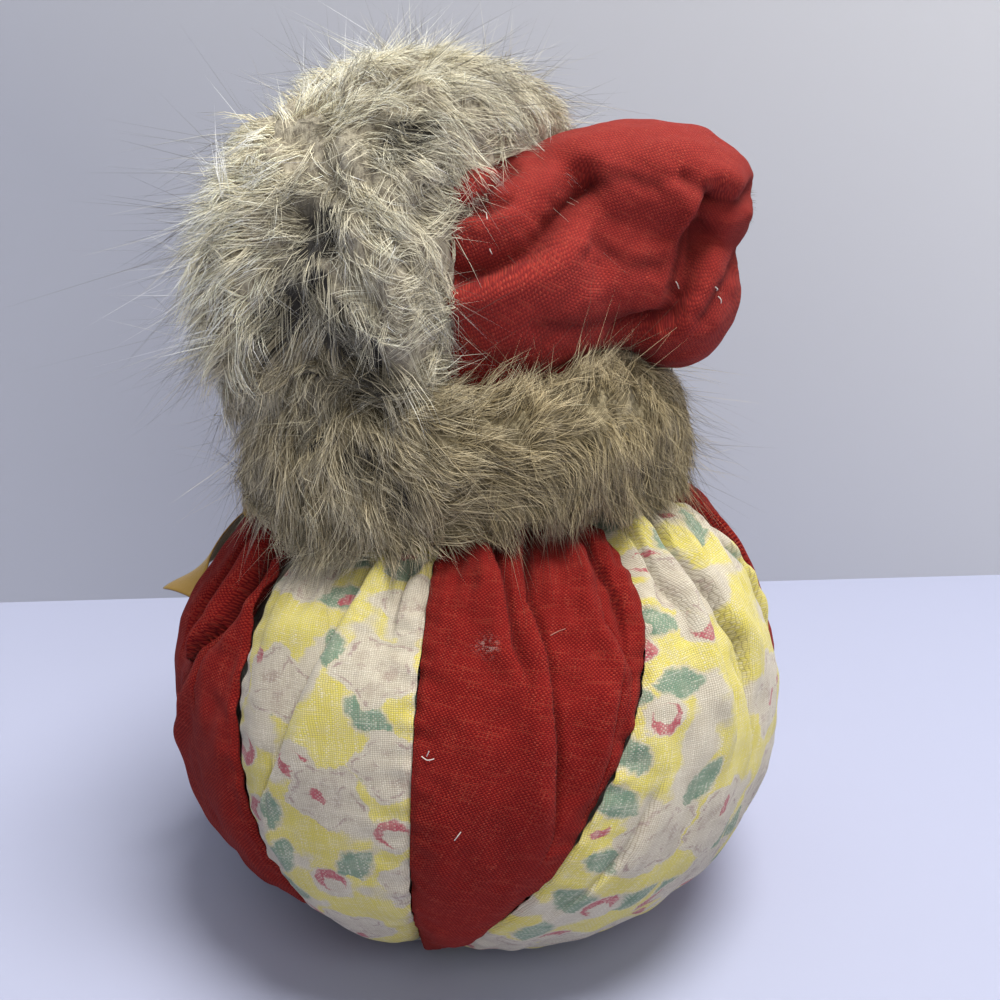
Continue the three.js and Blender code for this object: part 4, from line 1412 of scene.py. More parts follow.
def pushed_off_body(points, clearance):
    """Points moved out to a clearance above the ball body where they lie lower."""
    away = points - waist
    distance = np.linalg.norm(away, axis=-1)
    polar_angle = np.arccos(np.clip(away[..., 2] / distance, -1, 1))
    least = body_reach(polar_angle) + clearance
    scale = np.where(polar_angle > rim_polar, np.maximum(1, least / distance), 1)
    return waist + away * scale[..., None]


def depth_in_cap(points):
    """Below 1 where a point lies inside a lobe of the cap."""
    least = np.full(len(points), 9.0)
    for along, side, up, half in cap_lobes:
        away = points - cap_point(along, side, up)
        local = np.stack([away @ cap_along, away @ cap_side, away @ cap_up], -1)
        least = np.minimum(least, np.linalg.norm(local / (np.array(half) * mm), axis=-1))
    return least


def pushed_off_cap(points, clearance):
    for along, side, up, half in cap_lobes:
        centre = cap_point(along, side, up)
        away = points - centre
        local = np.stack([away @ cap_along, away @ cap_side, away @ cap_up], -1)
        size = np.array(half) * mm + clearance
        depth = np.linalg.norm(local / size, axis=-1)
        scale = np.maximum(1, 1 / np.maximum(depth, 0.15))
        points = centre + away * scale[..., None]
    return points


def parting(turn):
    """The section angle at which the trim's hair parts, at each turn."""
    sways = 16 * np.sin(2.7 * turn + math.radians(46)) + 7 * np.sin(6.1 * turn)
    return np.radians(97 + sways)


trim_up = np.array([0.0, math.sin(math.radians(trim_lean)), math.cos(math.radians(trim_lean))])
trim_back = np.array([0.0, math.cos(math.radians(trim_lean)), -math.sin(math.radians(trim_lean))])
trim_middle = np.array([0.0, -trim_forward, head_centre.z])


def trim_place(points):
    """Turn from the crown, and section angle from the trim's back outwards, of points on it."""
    away = points - trim_middle
    high = away @ trim_up
    turn = np.arctan2(away[:, 0], high)
    outward = (np.hypot(away[:, 0], high) - trim_radius) / trim_half_depth
    return turn, np.arctan2(outward, away @ trim_back / (trim_side_width / 2))


# Pockets in the fur where the hair parts: azimuth, radius and height of the place, reach and
# depth in millimetres, and how dark the shade painted in it is
fur_pockets = [
    (5, 26, 159, 5.0, 2.4, 1.0), (-1, 28, 158, 3.5, 1.6, 0.9), (11, 23, 161, 3.5, 1.4, 0.8),
    (-15, 39, 143, 4.6, 2.8, 1.0), (-18, 40, 140.5, 3.6, 2.0, 0.8), (-14, 41.5, 133, 4.0, 1.6, 0.7),
    (-22, 43, 128.5, 4.0, 2.6, 1.0), (-26, 46, 124, 3.5, 2.4, 1.0), (-6, 41.5, 127, 4.5, 2.0, 0.8),
    (-1, 40.5, 123, 4.2, 2.8, 1.0), (3, 40, 118.5, 4.0, 2.4, 0.9), (6, 39.5, 115, 3.5, 1.8, 0.8),
    (-12, 41, 115, 4.0, 1.6, 0.7), (20, 28, 147.5, 5.0, 3.6, 0.0),
    (-13, 44, 107, 3.4, 2.0, 0.6), (2, 42, 104, 4.0, 2.4, 0.8), (12, 40, 97, 4.0, 1.8, 0.6),
    (-26, 46, 97, 4.0, 1.2, 0.5), (52, 38, 98, 4.0, 1.0, 0.4), (88, 39, 96, 4.0, 1.2, 0.4),
    (200, 32, 152, 6.5, 1.4, 0.35), (205, 41, 134, 5.0, 2.2, 0.6), (212, 44, 122, 4.5, 2.4, 0.7),
    (-60, 46, 100, 4.0, 1.4, 0.5), (-110, 46, 98, 4.0, 1.6, 0.5), (195, 43, 102, 4.0, 1.6, 0.6),
    (150, 42, 100, 4.0, 1.2, 0.5), (-100, 50, 150, 4.5, 1.6, 0.6),
]


def arch_place(points):
    """Degrees below the edge of the trim's last lobes, and the section angle in degrees."""
    turn, section = (np.degrees(angle) for angle in trim_place(points))
    return np.abs(turn) - 73 - 0.45 * np.abs(section - 76), section


def under_arch(points):
    """Share of the hair that hangs like the beard's, below the trim's lobes."""
    below, _ = arch_place(points)
    return smooth_step(-4, 3, below)


def arch_shadow(points):
    """How dark the fur lies just under the edge of the trim's lobes."""
    below, section = arch_place(points)
    along = smooth_step(15, 35, section) * (1 - smooth_step(108, 125, section))
    return 0.55 * along * bell((below - 5) / 7)


def pocket_shares(points):
    """How deep in the pockets points lie: a share of painted shade, and millimetres drawn in."""
    share, depth = np.zeros(len(points)), np.zeros(len(points))
    for azimuth, radius, height, reach, pocket_depth, dark in fur_pockets:
        turn = math.radians(azimuth)
        place = np.array([radius * math.cos(turn), radius * math.sin(turn), height]) * mm
        near = bell(np.linalg.norm(points - place, axis=1) / (reach * mm))
        share = np.maximum(share, dark * smooth_step(0.10, 0.62, near))
        depth = np.maximum(depth, near * pocket_depth)
    return share, depth


def parting_share(points):
    """How close to the trim's parting points lie."""
    turn, section = trim_place(points)
    along = np.interp(np.abs(np.degrees(turn)), [0, 40, 55, 74, 84], [0, 0.1, 1, 1, 0])
    return along * bell((section - parting(turn)) / math.radians(13))


def pelt_piece(name, node, material, inset, lump, seed):
    """The dense undercoat: its CAD solid's form, drawn in a little and lumpy."""
    piece = add_piece(name, mesh_from(cad_form(node), name), material, "head")
    even_skin(piece, undercoat_voxel, 0.5, 8)
    points, normals = read_points(piece.data), read_normals(piece.data)
    share, depth = pocket_shares(points)
    lumps = lump * ripple(points * np.array([1, 1, 0.6]), 9 * mm, seed) - inset - depth * mm
    lumps = lumps + 0.45 * mm * ripple(points * np.array([1, 1, 0.5]), 3.0 * mm, seed + 1)
    points = points + normals * lumps[:, None]
    if node == "back_hair":
        points = lifted_hem(points)
    write_points(piece.data, points)
    # Painted shade at the trim's parting and under the edge of its lobes.
    if node == "hood_trim":
        share = np.maximum(share, np.maximum(0.5 * parting_share(points), arch_shadow(points)))
    # The pompom's core gets painted shade all over.
    if node == "cap_pompom":
        share = np.full(len(points), 0.9)
    keep_value(piece.data, "pocket_shade", share)
    shade_smooth(piece.data)
    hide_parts(node)
    return piece


def lifted_hem(points):
    """Points of the back hair with its lower edge raised where the gathered cloth shows below it."""
    azimuth = azimuth_of(points)
    share = 0.50 * bell((azimuth - 56) / 22)
    low = np.minimum(0, points[:, 2] - collar_middle)
    lifted = points.copy()
    lifted[:, 2] -= low * share
    return lifted


def surface_places(piece, count, random):
    """Random places on a piece, and the way out there."""
    mesh = piece.data
    mesh.calc_loop_triangles()
    corners = np.empty(len(mesh.loop_triangles) * 3, np.int32)
    mesh.loop_triangles.foreach_get("vertices", corners)
    corners = corners.reshape(-1, 3)
    points, normals = read_points(mesh), read_normals(mesh)
    a, b, c = (points[corners[:, number]] for number in range(3))
    area = np.linalg.norm(np.cross(b - a, c - a), axis=1)
    chosen = corners[random.choice(len(area), count, p=area / area.sum())]
    first, second = np.sqrt(random.random(count))[:, None], random.random(count)[:, None]
    weights = (1 - first, first * (1 - second), first * second)
    place = sum(weight * points[chosen[:, number]] for number, weight in enumerate(weights))
    out = sum(weight * normals[chosen[:, number]] for number, weight in enumerate(weights))
    return place, unit(out)


def nearest_places(piece, places):
    """The nearest places on a piece, and the way out there."""
    near, out = np.empty_like(places), np.empty_like(places)
    for index, place in enumerate(places):
        _, near[index], out[index], _ = piece.closest_point_on_mesh(Vector(place))
    return near, out


def laid_flat(direction, out):
    flat = direction - out * (direction * out).sum(1)[:, None]
    return flat / np.maximum(np.linalg.norm(flat, axis=1), 1e-9)[:, None]


def turned(direction, out, angle):
    return direction * np.cos(angle)[:, None] + np.cross(out, direction) * np.sin(angle)[:, None]


def trim_comb(place, out):
    """The way the trim's hair lies: away from its parting, up at the crown and down at the cheeks."""
    turn, section = trim_place(place)
    radial = np.sin(turn)[:, None] * np.array([1.0, 0, 0]) + np.cos(turn)[:, None] * trim_up
    down_ring = np.cos(turn)[:, None] * np.array([1.0, 0, 0]) - np.sin(turn)[:, None] * trim_up
    down_ring = down_ring * np.tanh(turn / 0.2)[:, None]
    forward = radial * np.cos(section)[:, None] - trim_back * np.sin(section)[:, None]
    side = np.tanh((section - parting(turn)) / 0.3)
    turns, shares = [0, 25, 42, 62, 90, 108], [-0.55, -0.45, 0.1, 0.5, 0.8, 1.8]
    falls = np.interp(np.abs(np.degrees(turn)), turns, shares)
    by_cap = smooth_step(1.1, 0.6, section) * smooth_step(0.85, 1.1, turn) * smooth_step(2.0, 1.7, turn)
    falls = falls * (1 - 0.65 * by_cap)
    way = forward * side[:, None] + down_ring * falls[:, None] - np.array([0, 0, 0.12])
    hangs = under_arch(place)[:, None]
    way = way * (1 - hangs) - np.array([0, 0, 1.0]) * hangs
    swirl = 0.5 * ripple(place, 20 * mm, 51) * (1 - 0.7 * hangs[:, 0])
    return turned(laid_flat(way, out), out, swirl)


# The way the collar's hair lies: azimuth, height in millimetres, and sweep from straight down
# towards the doll's back on its left side
collar_guides = [
    (-150, 100, 8), (-120, 100, 5), (-90, 100, 0), (-60, 100, -4), (-38, 110, 6), (-34, 92, -10),
    (-25, 104, 8), (-20, 90, -18), (-12, 110, 14), (-8, 97, 24), (-6, 87, -16),
    (4, 110, 22), (6, 100, 42), (8, 90, 28), (16, 113, 100), (18, 103, 75), (22, 92, 42),
    (30, 113, 128), (32, 105, 88), (34, 97, 64), (34, 88, 36), (45, 113, 140), (46, 104, 78),
    (48, 96, 36), (47, 88, 14), (60, 113, 150), (60, 102, 0), (62, 94, -26), (66, 87, 44),
    (82, 113, 170), (75, 106, -6), (78, 98, -14), (82, 89, 58), (95, 105, -4), (98, 94, 4), (110, 88, 30),
    (130, 105, 10), (135, 92, -10), (160, 105, -12), (165, 90, 8), (190, 105, 12), (200, 92, 0),
    (230, 105, -8), (240, 92, 6), (262, 100, 0),
]


def collar_comb(place, out):
    azimuth = azimuth_of(place)
    rightwards, downwards = np.zeros(len(place)), np.zeros(len(place))
    for at_azimuth, at_height, sweep in collar_guides:
        apart = (azimuth - at_azimuth + 180) % 360 - 180
        weight = np.exp(-((apart / 10) ** 2) - ((place[:, 2] / mm - at_height) / 6) ** 2) + 1e-6
        rightwards += weight * math.sin(math.radians(sweep))
        downwards += weight * math.cos(math.radians(sweep))
    turn = np.radians(azimuth)
    round_way = np.stack([-np.sin(turn), np.cos(turn), 0 * turn], -1)
    way = round_way * rightwards[:, None] - np.array([0, 0, 1.0]) * downwards[:, None]
    swirl = 0.28 * ripple(place * np.array([1, 1, 0.8]), 14 * mm, 61)
    return turned(laid_flat(way, out), out, swirl)


def combed_hairs(piece, clumps, comb, length, lift, stray, shown, random):
    """Hairs laid over a piece in clumps: clump numbers, roots, middles and tips."""
    start, start_out = surface_places(piece, clumps, random)
    seen = shown(start, start_out)
    start, start_out = start[seen], start_out[seen]
    clumps = len(start)
    angle = stray * random.normal(size=clumps)
    angle = np.where(random.random(clumps) < 0.22, angle * 2.8, angle)
    step = (length(start) * random.uniform(0.75, 1.2, clumps) / 2)[:, None]
    way = turned(comb(start, start_out), start_out, angle)
    half, half_out = nearest_places(piece, start + way * step)
    way = turned(comb(half, half_out), half_out, 0.6 * angle)
    free = half + way * step
    end, end_out = nearest_places(piece, free)
    hangs = (end_out[:, 2] < -0.2)[:, None]
    end = np.where(hangs, half + (way * 0.55 - np.array([0, 0, 0.45])) * step, end)
    end_out = np.where(hangs, half_out, end_out)

    clump = np.repeat(np.arange(clumps), hairs_per_clump)
    count = len(clump)
    loose = random.normal(size=(count, 3)) * mm
    drawn = random.uniform(0.35, 1.3, clumps)[clump][:, None]
    raised = (lift(start) * random.uniform(0.5, 1.4, clumps))[clump]
    reach = random.uniform(0.72, 1.25, count)[:, None]
    wild = random.random(count) < stray_share
    reach = np.where(wild[:, None], reach * stray_reach, reach)
    roots = start[clump] + laid_loose(loose, start_out[clump]) * 1.2 - start_out[clump] * 0.8 * mm
    over_half = half[clump] + laid_loose(loose, half_out[clump]) * 0.9
    above = 0.4 * raised + 0.5 * mm + 0.25 * random.normal(size=count) * mm
    over_half = over_half + half_out[clump] * above[:, None]
    tips = end[clump] + loose * drawn + 0.35 * mm * random.normal(size=(count, 3))
    rise = raised + np.where(wild, random.uniform(1.5, 8.0, count), 0) * mm
    tips = tips + end_out[clump] * (rise * random.uniform(0.5, 1.5, count) + 0.5 * mm)[:, None]
    tips = over_half + (tips - over_half) * reach
    tips[:, 2] = np.minimum(tips[:, 2], highest_hair + 0.45 * (tips[:, 2] - highest_hair))
    middles = 2 * over_half - (roots + tips) / 2
    return clump, roots, middles, tips, wild


def laid_loose(loose, out):
    return loose - out * (loose * out).sum(1)[:, None]


def hair_shades(clump, wild, places, colors, dark_share, painted_shade_places, seed):
    """Three colours for each hair: painted shade where it lies in the pockets, some pale, some with dark
    tips.
    """
    random = np.random.default_rng(seed)
    count = len(clump)
    tone = 1 + 0.15 * random.normal(size=clump.max() + 1)[clump] + 0.12 * random.normal(size=count)
    tone = np.clip(tone, 0.55, 1.5)
    pale = random.random(count) < 0.16
    tone = np.where(pale, tone * 1.25, tone)
    # Painted shade on each hair at its root, middle and tip where these lie in the pockets.
    painted_shade_factor = []
    for at, least in zip(places, (0.94, 0.89, 0.74)):
        pocket_shade = np.maximum(pocket_shares(at)[0], painted_shade_places(at))
        painted_shade_factor.append(1 - least * np.where(pale, 0.3 * pocket_shade, pocket_shade))
    painted_shade_factor = np.stack(painted_shade_factor, -1)
    dark = (random.random(count) < dark_share) | (wild & (random.random(count) < 0.6))
    shades = []
    for place, color in enumerate(colors):
        shade = color * (tone * painted_shade_factor[:, place])[:, None]
        if place == 1:
            shade = np.where((dark & wild)[:, None], 0.22 * shade, shade)
        if place == 2:
            shade = np.where(dark[:, None], np.array([0.05, 0.042, 0.034]), shade)
        shades.append(shade)
    return np.stack(shades, 1)


def fur_pieces(base, groups, roots, middles, tips, radius, shades, seed):
    """Hairs in as many pieces as there are groups."""
    for number in range(int(groups.max()) + 1):
        chosen = groups == number
        name = f"{base}_{number + 1}"
        mesh = hair_mesh(
            name, *(values[chosen] for values in (roots, middles, tips, radius, shades)), seed + number
        )
        add_piece(name, mesh, fur, "head")


def hair_radius(random, wild, strand):
    plain, stray = strand
    return np.where(wild, stray, plain) * random.uniform(0.7, 1.3, len(wild)) * mm


def blended(share, first, second):
    return first * (1 - share[:, None]) + second * share[:, None]


# Colours at a hair's root, middle and tip
beard_colors = ((0.22, 0.18, 0.11), (0.56, 0.48, 0.32), (0.84, 0.76, 0.56))
back_colors = ((0.15, 0.115, 0.055), (0.41, 0.33, 0.185), (0.68, 0.575, 0.38))


def trim_fur(pelt):
    random = np.random.default_rng(RNG_SEED)

    def shown(place, out):
        ahead = place + out * 3.5 * mm
        off_head = np.linalg.norm(ahead - np.array(head_centre), axis=1) > head_radius + 1.5 * mm
        bare = np.linalg.norm(place - np.array([25.5, 10.0, 148.0]) * mm, axis=1) < 3.6 * mm
        return off_head & ~bare & (depth_in_cap(ahead) > 1) & (depth_in_cap(place) > 0.93)

    def length(place):
        turn, section = trim_place(place)
        low = smooth_step(0.9, 1.4, np.abs(turn))
        side = smooth_step(0.85, 1.1, turn) * smooth_step(1.9, 1.6, turn)
        over_cap = smooth_step(0.9, 0.5, section) * side
        crown_back = smooth_step(1.0, 0.5, section) * smooth_step(0.9, 0.5, np.abs(turn))
        ahead = smooth_step(1.5, 2.0, section) * smooth_step(0.35, 0.8, np.abs(turn)) * (1 - low)
        longer = 6.5 * over_cap + 4.0 * crown_back + 2.5 * ahead
        return (9.5 + 2.0 * low + 2.0 * under_arch(place) + longer) * mm

    def lift(place):
        turn, section = trim_place(place)
        edge = smooth_step(-0.1, 0.6, section - parting(turn))
        crown = smooth_step(0.9, 0.3, np.abs(turn))
        low_front = smooth_step(0.6, 1.1, np.abs(turn)) * smooth_step(2.0, 1.7, np.abs(turn))
        below, _ = arch_place(place)
        brow = 2.4 * bell((below + 5) / 6)
        lies = 1 - 0.85 * under_arch(place)
        upper_front = smooth_step(0.3, 0.6, np.abs(turn)) * smooth_step(1.3, 0.9, np.abs(turn))
        front = edge * (1.8 + 2.6 * low_front + 2.4 * upper_front)
        return (0.9 + lies * (front + 1.6 * crown + brow)) * mm

    clump, roots, middles, tips, wild = combed_hairs(
        pelt, trim_clumps, trim_comb, length, lift, 0.42, shown, random
    )
    middles = pushed_off_cap(middles, 0.5 * mm)
    tips = pushed_off_cap(tips, 0.9 * mm)
    height = smooth_step(-40 * mm, 34 * mm, roots[:, 2] - head_centre.z)
    colors = (
        blended(height, np.array([0.47, 0.41, 0.30]), np.array([0.53, 0.47, 0.345])),
        blended(height, np.array([0.80, 0.73, 0.56]), np.array([0.82, 0.76, 0.58])),
        blended(height, np.array([0.90, 0.85, 0.70]), np.array([0.92, 0.88, 0.73])),
    )
    _, section = trim_place(roots)
    # Painted light: the hair on the trim's outward and forward faces is made brighter.
    front = (1 + 0.32 * smooth_step(1.45, 1.9, section) - 0.06 * smooth_step(0.4, 1.0, height))[:, None]
    colors = [color * front for color in colors]
    hangs = 0.85 * under_arch(roots)
    colors = [blended(hangs, color, np.array(low)) for color, low in zip(colors, beard_colors)]

    # Painted shade under the trim's lobes and along its parting.
    def painted_shade_places(at):
        return np.maximum(arch_shadow(at), 0.5 * parting_share(at))

    shades = hair_shades(clump, wild, (roots, middles, tips), colors, 0.10, painted_shade_places, RNG_SEED + 6)
    radius = hair_radius(random, wild, trim_strand)
    groups = clump * 4 // (clump.max() + 1)
    fur_pieces("trim_hair", groups, roots, middles, tips, radius, shades, 100)


def collar_fur(pelt, base, clumps, parts, long, seed):
    random = np.random.default_rng(seed)

    def shown(place, out):
        ahead = place + out * 3 * mm
        flat = np.linalg.norm(ahead[:, :2], axis=1) > 27 * mm
        above = ahead - waist
        distance = np.linalg.norm(above, axis=1)
        clear = distance > body_reach(np.arccos(above[:, 2] / distance))
        return flat & clear & (out[:, 2] > -0.75) & (depth_in_cap(ahead) > 0.97)

    def length(place):
        azimuth = azimuth_of(place)
        low_front = smooth_step(98 * mm, 89 * mm, place[:, 2]) * smooth_step(2, -14, azimuth)
        chin = 0.35 * bell((azimuth + 90) / 32)
        gathers = 0.35 * smooth_step(98 * mm, 90 * mm, place[:, 2]) * bell((azimuth - 57) / 17)
        return long * (1 + 0.25 * ripple(place, 9 * mm, seed + 3) + 0.5 * low_front + chin - gathers) * mm

    def lift(place):
        azimuth = azimuth_of(place)
        by_cap = smooth_step(105 * mm, 112 * mm, place[:, 2]) * np.exp(-(((azimuth - 50) / 42) ** 4))
        return (0.9 + 0.5 * ripple(place, 9 * mm, seed + 4) + 3.6 * by_cap) * mm

    clump, roots, middles, tips, wild = combed_hairs(
        pelt, clumps, collar_comb, length, lift, 0.38, shown, random
    )
    middles = pushed_off_body(pushed_off_cap(middles, 0.4 * mm), 1.4 * mm)
    tips = pushed_off_body(pushed_off_cap(tips, 0.6 * mm), 1.4 * mm)
    roots = pushed_off_body(roots, 1.0 * mm)
    azimuth = azimuth_of(roots)
    # The back hair is browner and darker: partly its own colour, and partly painted shade where the cap
    # hangs over it.
    brown_and_cap_shade = smooth_step(-8, 34, np.abs((azimuth + 90 + 180) % 360 - 180) - 90)
    pairs = zip(beard_colors, back_colors)
    colors = [blended(brown_and_cap_shade, np.array(first), np.array(last)) for first, last in pairs]

    def painted_shade_places(at):
        return np.zeros(len(at))

    shades = hair_shades(clump, wild, (roots, middles, tips), colors, 0.12, painted_shade_places, seed + 6)
    radius = hair_radius(random, wild, collar_strand)
    groups = clump * parts // (clump.max() + 1)
    fur_pieces(base, groups, roots, middles, tips, radius, shades, seed + 7)


def pompom_tuft():
    """A dark tuft on the cap's far side, by its tip."""
    random = np.random.default_rng(RNG_SEED + 11)
    clumps, per_clump = 110, 14
    centre = cap_point(*pompom_place)
    direction = random.normal(size=(clumps, 3))
    direction /= np.linalg.norm(direction, axis=1)[:, None]
    clump = np.repeat(np.arange(clumps), per_clump)
    wander = random.normal(size=(len(clump), 3))
    roots = centre + (direction[clump] + 0.25 * wander) * 2.2 * mm
    spread_out = direction[clump] + 0.10 * wander
    spread_out /= np.linalg.norm(spread_out, axis=1)[:, None]
    length = random.uniform(6.5, 9.0, len(clump))[:, None] * mm
    tips = centre + spread_out * length
    tips[:, 2] -= 0.8 * mm
    middles = (roots + tips) / 2 + np.array([0, 0, 0.8 * mm])
    tone = (1 + 0.25 * random.normal(size=len(clump)))[:, None].clip(0.4, 1.6)
    shades = np.stack([np.array(color) * tone for color in pompom_colors], 1)
    radius = np.full(len(clump), 0.12 * mm)
    fur_pieces("pompom_hair", 0 * clump, roots, middles, tips, radius, shades, 400)


pompom_colors = ((0.05, 0.04, 0.03), (0.10, 0.085, 0.06), (0.20, 0.17, 0.12))

trim_undercoat = pelt_piece("trim_undercoat", "hood_trim", trim_pelt, 2.5 * mm, 1.2 * mm, 80)
beard_undercoat = pelt_piece("beard_undercoat", "beard", collar_pelt, 2.3 * mm, 0.9 * mm, 82)
back_undercoat = pelt_piece(
    "back_hair_undercoat", "back_hair", collar_pelt, 2.3 * mm, 0.9 * mm, 84
)
pelt_piece("pompom_core", "cap_pompom", collar_pelt, 2.3 * mm, 0.4 * mm, 86)
trim_fur(trim_undercoat)
collar_fur(beard_undercoat, "beard_hair", beard_clumps, 3, 13.5, 200)
collar_fur(back_undercoat, "back_hair_strands", back_clumps, 4, 10.5, 300)
pompom_tuft()


# Ribbon bow


def over_body(azimuth, polar_degrees, lift):
    turn, angle = math.radians(azimuth), math.radians(polar_degrees)
    flat = math.sin(angle)
    direction = np.array([flat * math.cos(turn), flat * math.sin(turn), math.cos(angle)])
    return Vector(waist + direction * (body_reach(angle) + lift * mm))


def curve_through(points, steps):
    """Even points along a smooth line through the given ones."""
    places = []
    last = len(points) - 1
    for step in range(steps + 1):
        t = step / steps * last
        index = min(int(t), last - 1)
        share = t - index
        p0, p1 = points[max(index - 1, 0)], points[index]
        p2, p3 = points[index + 1], points[min(index + 2, last)]
        places.append(
            0.5
            * (
                2 * p1
                + (p2 - p0) * share
                + (2 * p0 - 5 * p1 + 4 * p2 - p3) * share**2
                + (3 * p1 - p0 - 3 * p2 + p3) * share**3
            )
        )
    return places


def ribbon_band(name, node, points, steps, bow=0.5, level_end=False, gold_below=False):
    """A satin band along a route, lying on the body, slightly cupped across."""
    line = curve_through(points, steps)
    bm = bmesh.new()
    bmesh.ops.create_grid(bm, x_segments=10, y_segments=steps, size=0.5)
    mesh = mesh_from(bm, name)
    grid = read_points(mesh)
    sides, faces = [], []
    side = None
    for index, place in enumerate(line):
        ahead = line[min(index + 1, steps)] - line[max(index - 1, 0)]
        ahead.normalize()
        out = (place - Vector(waist)).normalized()
        if level_end:
            out = out.lerp(Vector((0, 0, 1)), float(smooth_step(0.45, 1.0, index / steps)))
            side = None
        if side is None:
            side = ahead.cross(out).normalized()
        side = (side - ahead * side.dot(ahead)).normalized()
        sides.append(side.copy())
        faces.append(side.cross(ahead).normalized())
    row = np.rint((grid[:, 1] + 0.5) * steps).astype(int)
    line_points, side_points, face_points = (
        np.array([tuple(point) for point in points]) for points in (line, sides, faces)
    )
    cup = bow * mm * (1 - (2 * grid[:, 0]) ** 2)
    flat_band = line_points[row] + side_points[row] * (grid[:, 0:1] * ribbon_width)
    write_points(mesh, flat_band + face_points[row] * cup[:, None])
    lengths = np.concatenate([[0], np.cumsum(np.linalg.norm(np.diff(line_points, axis=0), axis=1))])
    cloth = np.stack([grid[:, 0] * ribbon_width / mm, lengths[row] / mm, 0 * grid[:, 0]], -1)
    keep_vector(mesh, "cloth_mm", cloth)
    piece = add_piece(name, mesh, satin, "body")
    live_modifier(piece, "SOLIDIFY", thickness=ribbon_thick, offset=0.0)
    apply_modifiers(piece)
    points_thick = read_points(piece.data)
    rows = np.argmin(np.linalg.norm(points_thick[:, None] - line_points[None], axis=2), axis=1)
    lift = ((points_thick - line_points[rows]) * face_points[rows]).sum(1)
    local = ((points_thick - line_points[rows]) * side_points[rows]).sum(1) / ribbon_width
    flat = bow * mm * (1 - (2 * local) ** 2)
    keep_value(piece.data, "underside", ((lift < flat) != gold_below).astype(float))
    shade_smooth(piece.data)
    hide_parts(node)


def ribbon_bow():
    for name, side in (("left", 1), ("right", -1)):
        loop = [
            (4, 0, 1.8), (14, 0, 1.8), (28, 2, 1.8), (38, 3, 3.5), (28, 2, 5.2), (14, 0, 5.2), (4, 0, 5.2),
        ]
        points = [over_body(bow_azimuth + side * a, knot_polar + b, lift) for a, b, lift in loop]
        ribbon_band("bow_loop_" + name, "ribbon_loop_" + name, points, 46, gold_below=True)
        tail = [(6, 6, 1.0), (11, 18, 1.0), (17.5, 27, 1.4), (25, 31.5, 3.8)]
        points = [over_body(bow_azimuth + side * a, knot_polar + b, lift) for a, b, lift in tail]
        ribbon_band("bow_tail_" + name, "ribbon_tail_" + name, points, 30, level_end=True)
    low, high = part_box("ribbon_knot")
    bm = bmesh.new()
    bmesh.ops.create_uvsphere(bm, u_segments=40, v_segments=28, radius=1.0)
    bmesh.ops.scale(bm, vec=(high - low) / 2 * 0.98, verts=bm.verts[:])
    bmesh.ops.translate(bm, vec=(high + low) / 2, verts=bm.verts[:])
    mesh = mesh_from(bm, "bow_knot")
    points, normals = read_points(mesh), read_normals(mesh)
    folds = 0.3 * mm * np.sin(points[:, 0] / (0.9 * mm) + 2 * ripple(points, 4 * mm, 9))
    write_points(mesh, points + normals * folds[:, None] - normals * 0.2 * mm)
    keep_vector(mesh, "cloth_mm", points[:, [0, 2, 1]] / mm)
    keep_value(mesh, "underside", np.zeros(len(points)))
    piece = add_piece("bow_knot", mesh, satin, "body")
    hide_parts("ribbon_knot")


ribbon_bow()


# Threads on the body


def gore_spot(name, across, up, lift):
    index = list(gores).index(name)
    spot = gore_surface(index, name, np.array([across]), np.array([up]))[0][0]
    out = spot - waist
    return Vector(spot + out / np.linalg.norm(out) * lift * mm)


def loose_threads():
    """Thread ends on the red gore, and a pale thread woven into it."""
    ends = {
        "thread_end_1": [(0.045, 0.552, 0.1), (0.075, 0.549, 0.5), (0.105, 0.552, 0.2)],
        "thread_end_2": [(0.068, 0.553, 0.1), (0.076, 0.558, 0.7), (0.080, 0.562, 0.9)],
        "thread_end_3": [(0.262, 0.446, 0.1), (0.272, 0.453, 0.5), (0.286, 0.460, 0.4)],
        "pale_thread": [(0.54, 0.726, 0.02), (0.57, 0.731, 0.10), (0.60, 0.734, 0.06)],
    }
    for name, spots in ends.items():
        route = [gore_spot("gore_red_2", *spot) for spot in spots]
        fade_and_painted_light = name == "pale_thread"
        size = pale_thread_radius if fade_and_painted_light else thread_end_radius
        thread = faded_thread if fade_and_painted_light else white_thread
        tube(name, curve_through(route, 8), size, thread, "body")


def neck_cord():
    """The gathering thread: two strands twisted round each other, tied round the neck."""
    low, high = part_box("neck_thread")
    radius = (high.x - low.x) / 2 - 0.6 * mm
    height = (high.z + low.z) / 2
    strands = []
    for start in (0, math.pi):
        route = []
        steps = 240
        for step in range(steps + 1):
            turn = 2 * math.pi * step / steps
            twist = neck_twists * turn + start
            reach = radius + neck_strand_out * math.cos(twist)
            rise = neck_strand_out * math.sin(twist)
            route.append(Vector((reach * math.cos(turn), reach * math.sin(turn), height + rise)))
        strands.append(route)
    for number, route in enumerate(strands):
        strand = tube(
            f"neck_thread_strand_{number + 1}", route, neck_strand_radius, red_thread, "body"
        )
        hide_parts("neck_thread")


loose_threads()
neck_cord()


# Floor, wall, light and camera


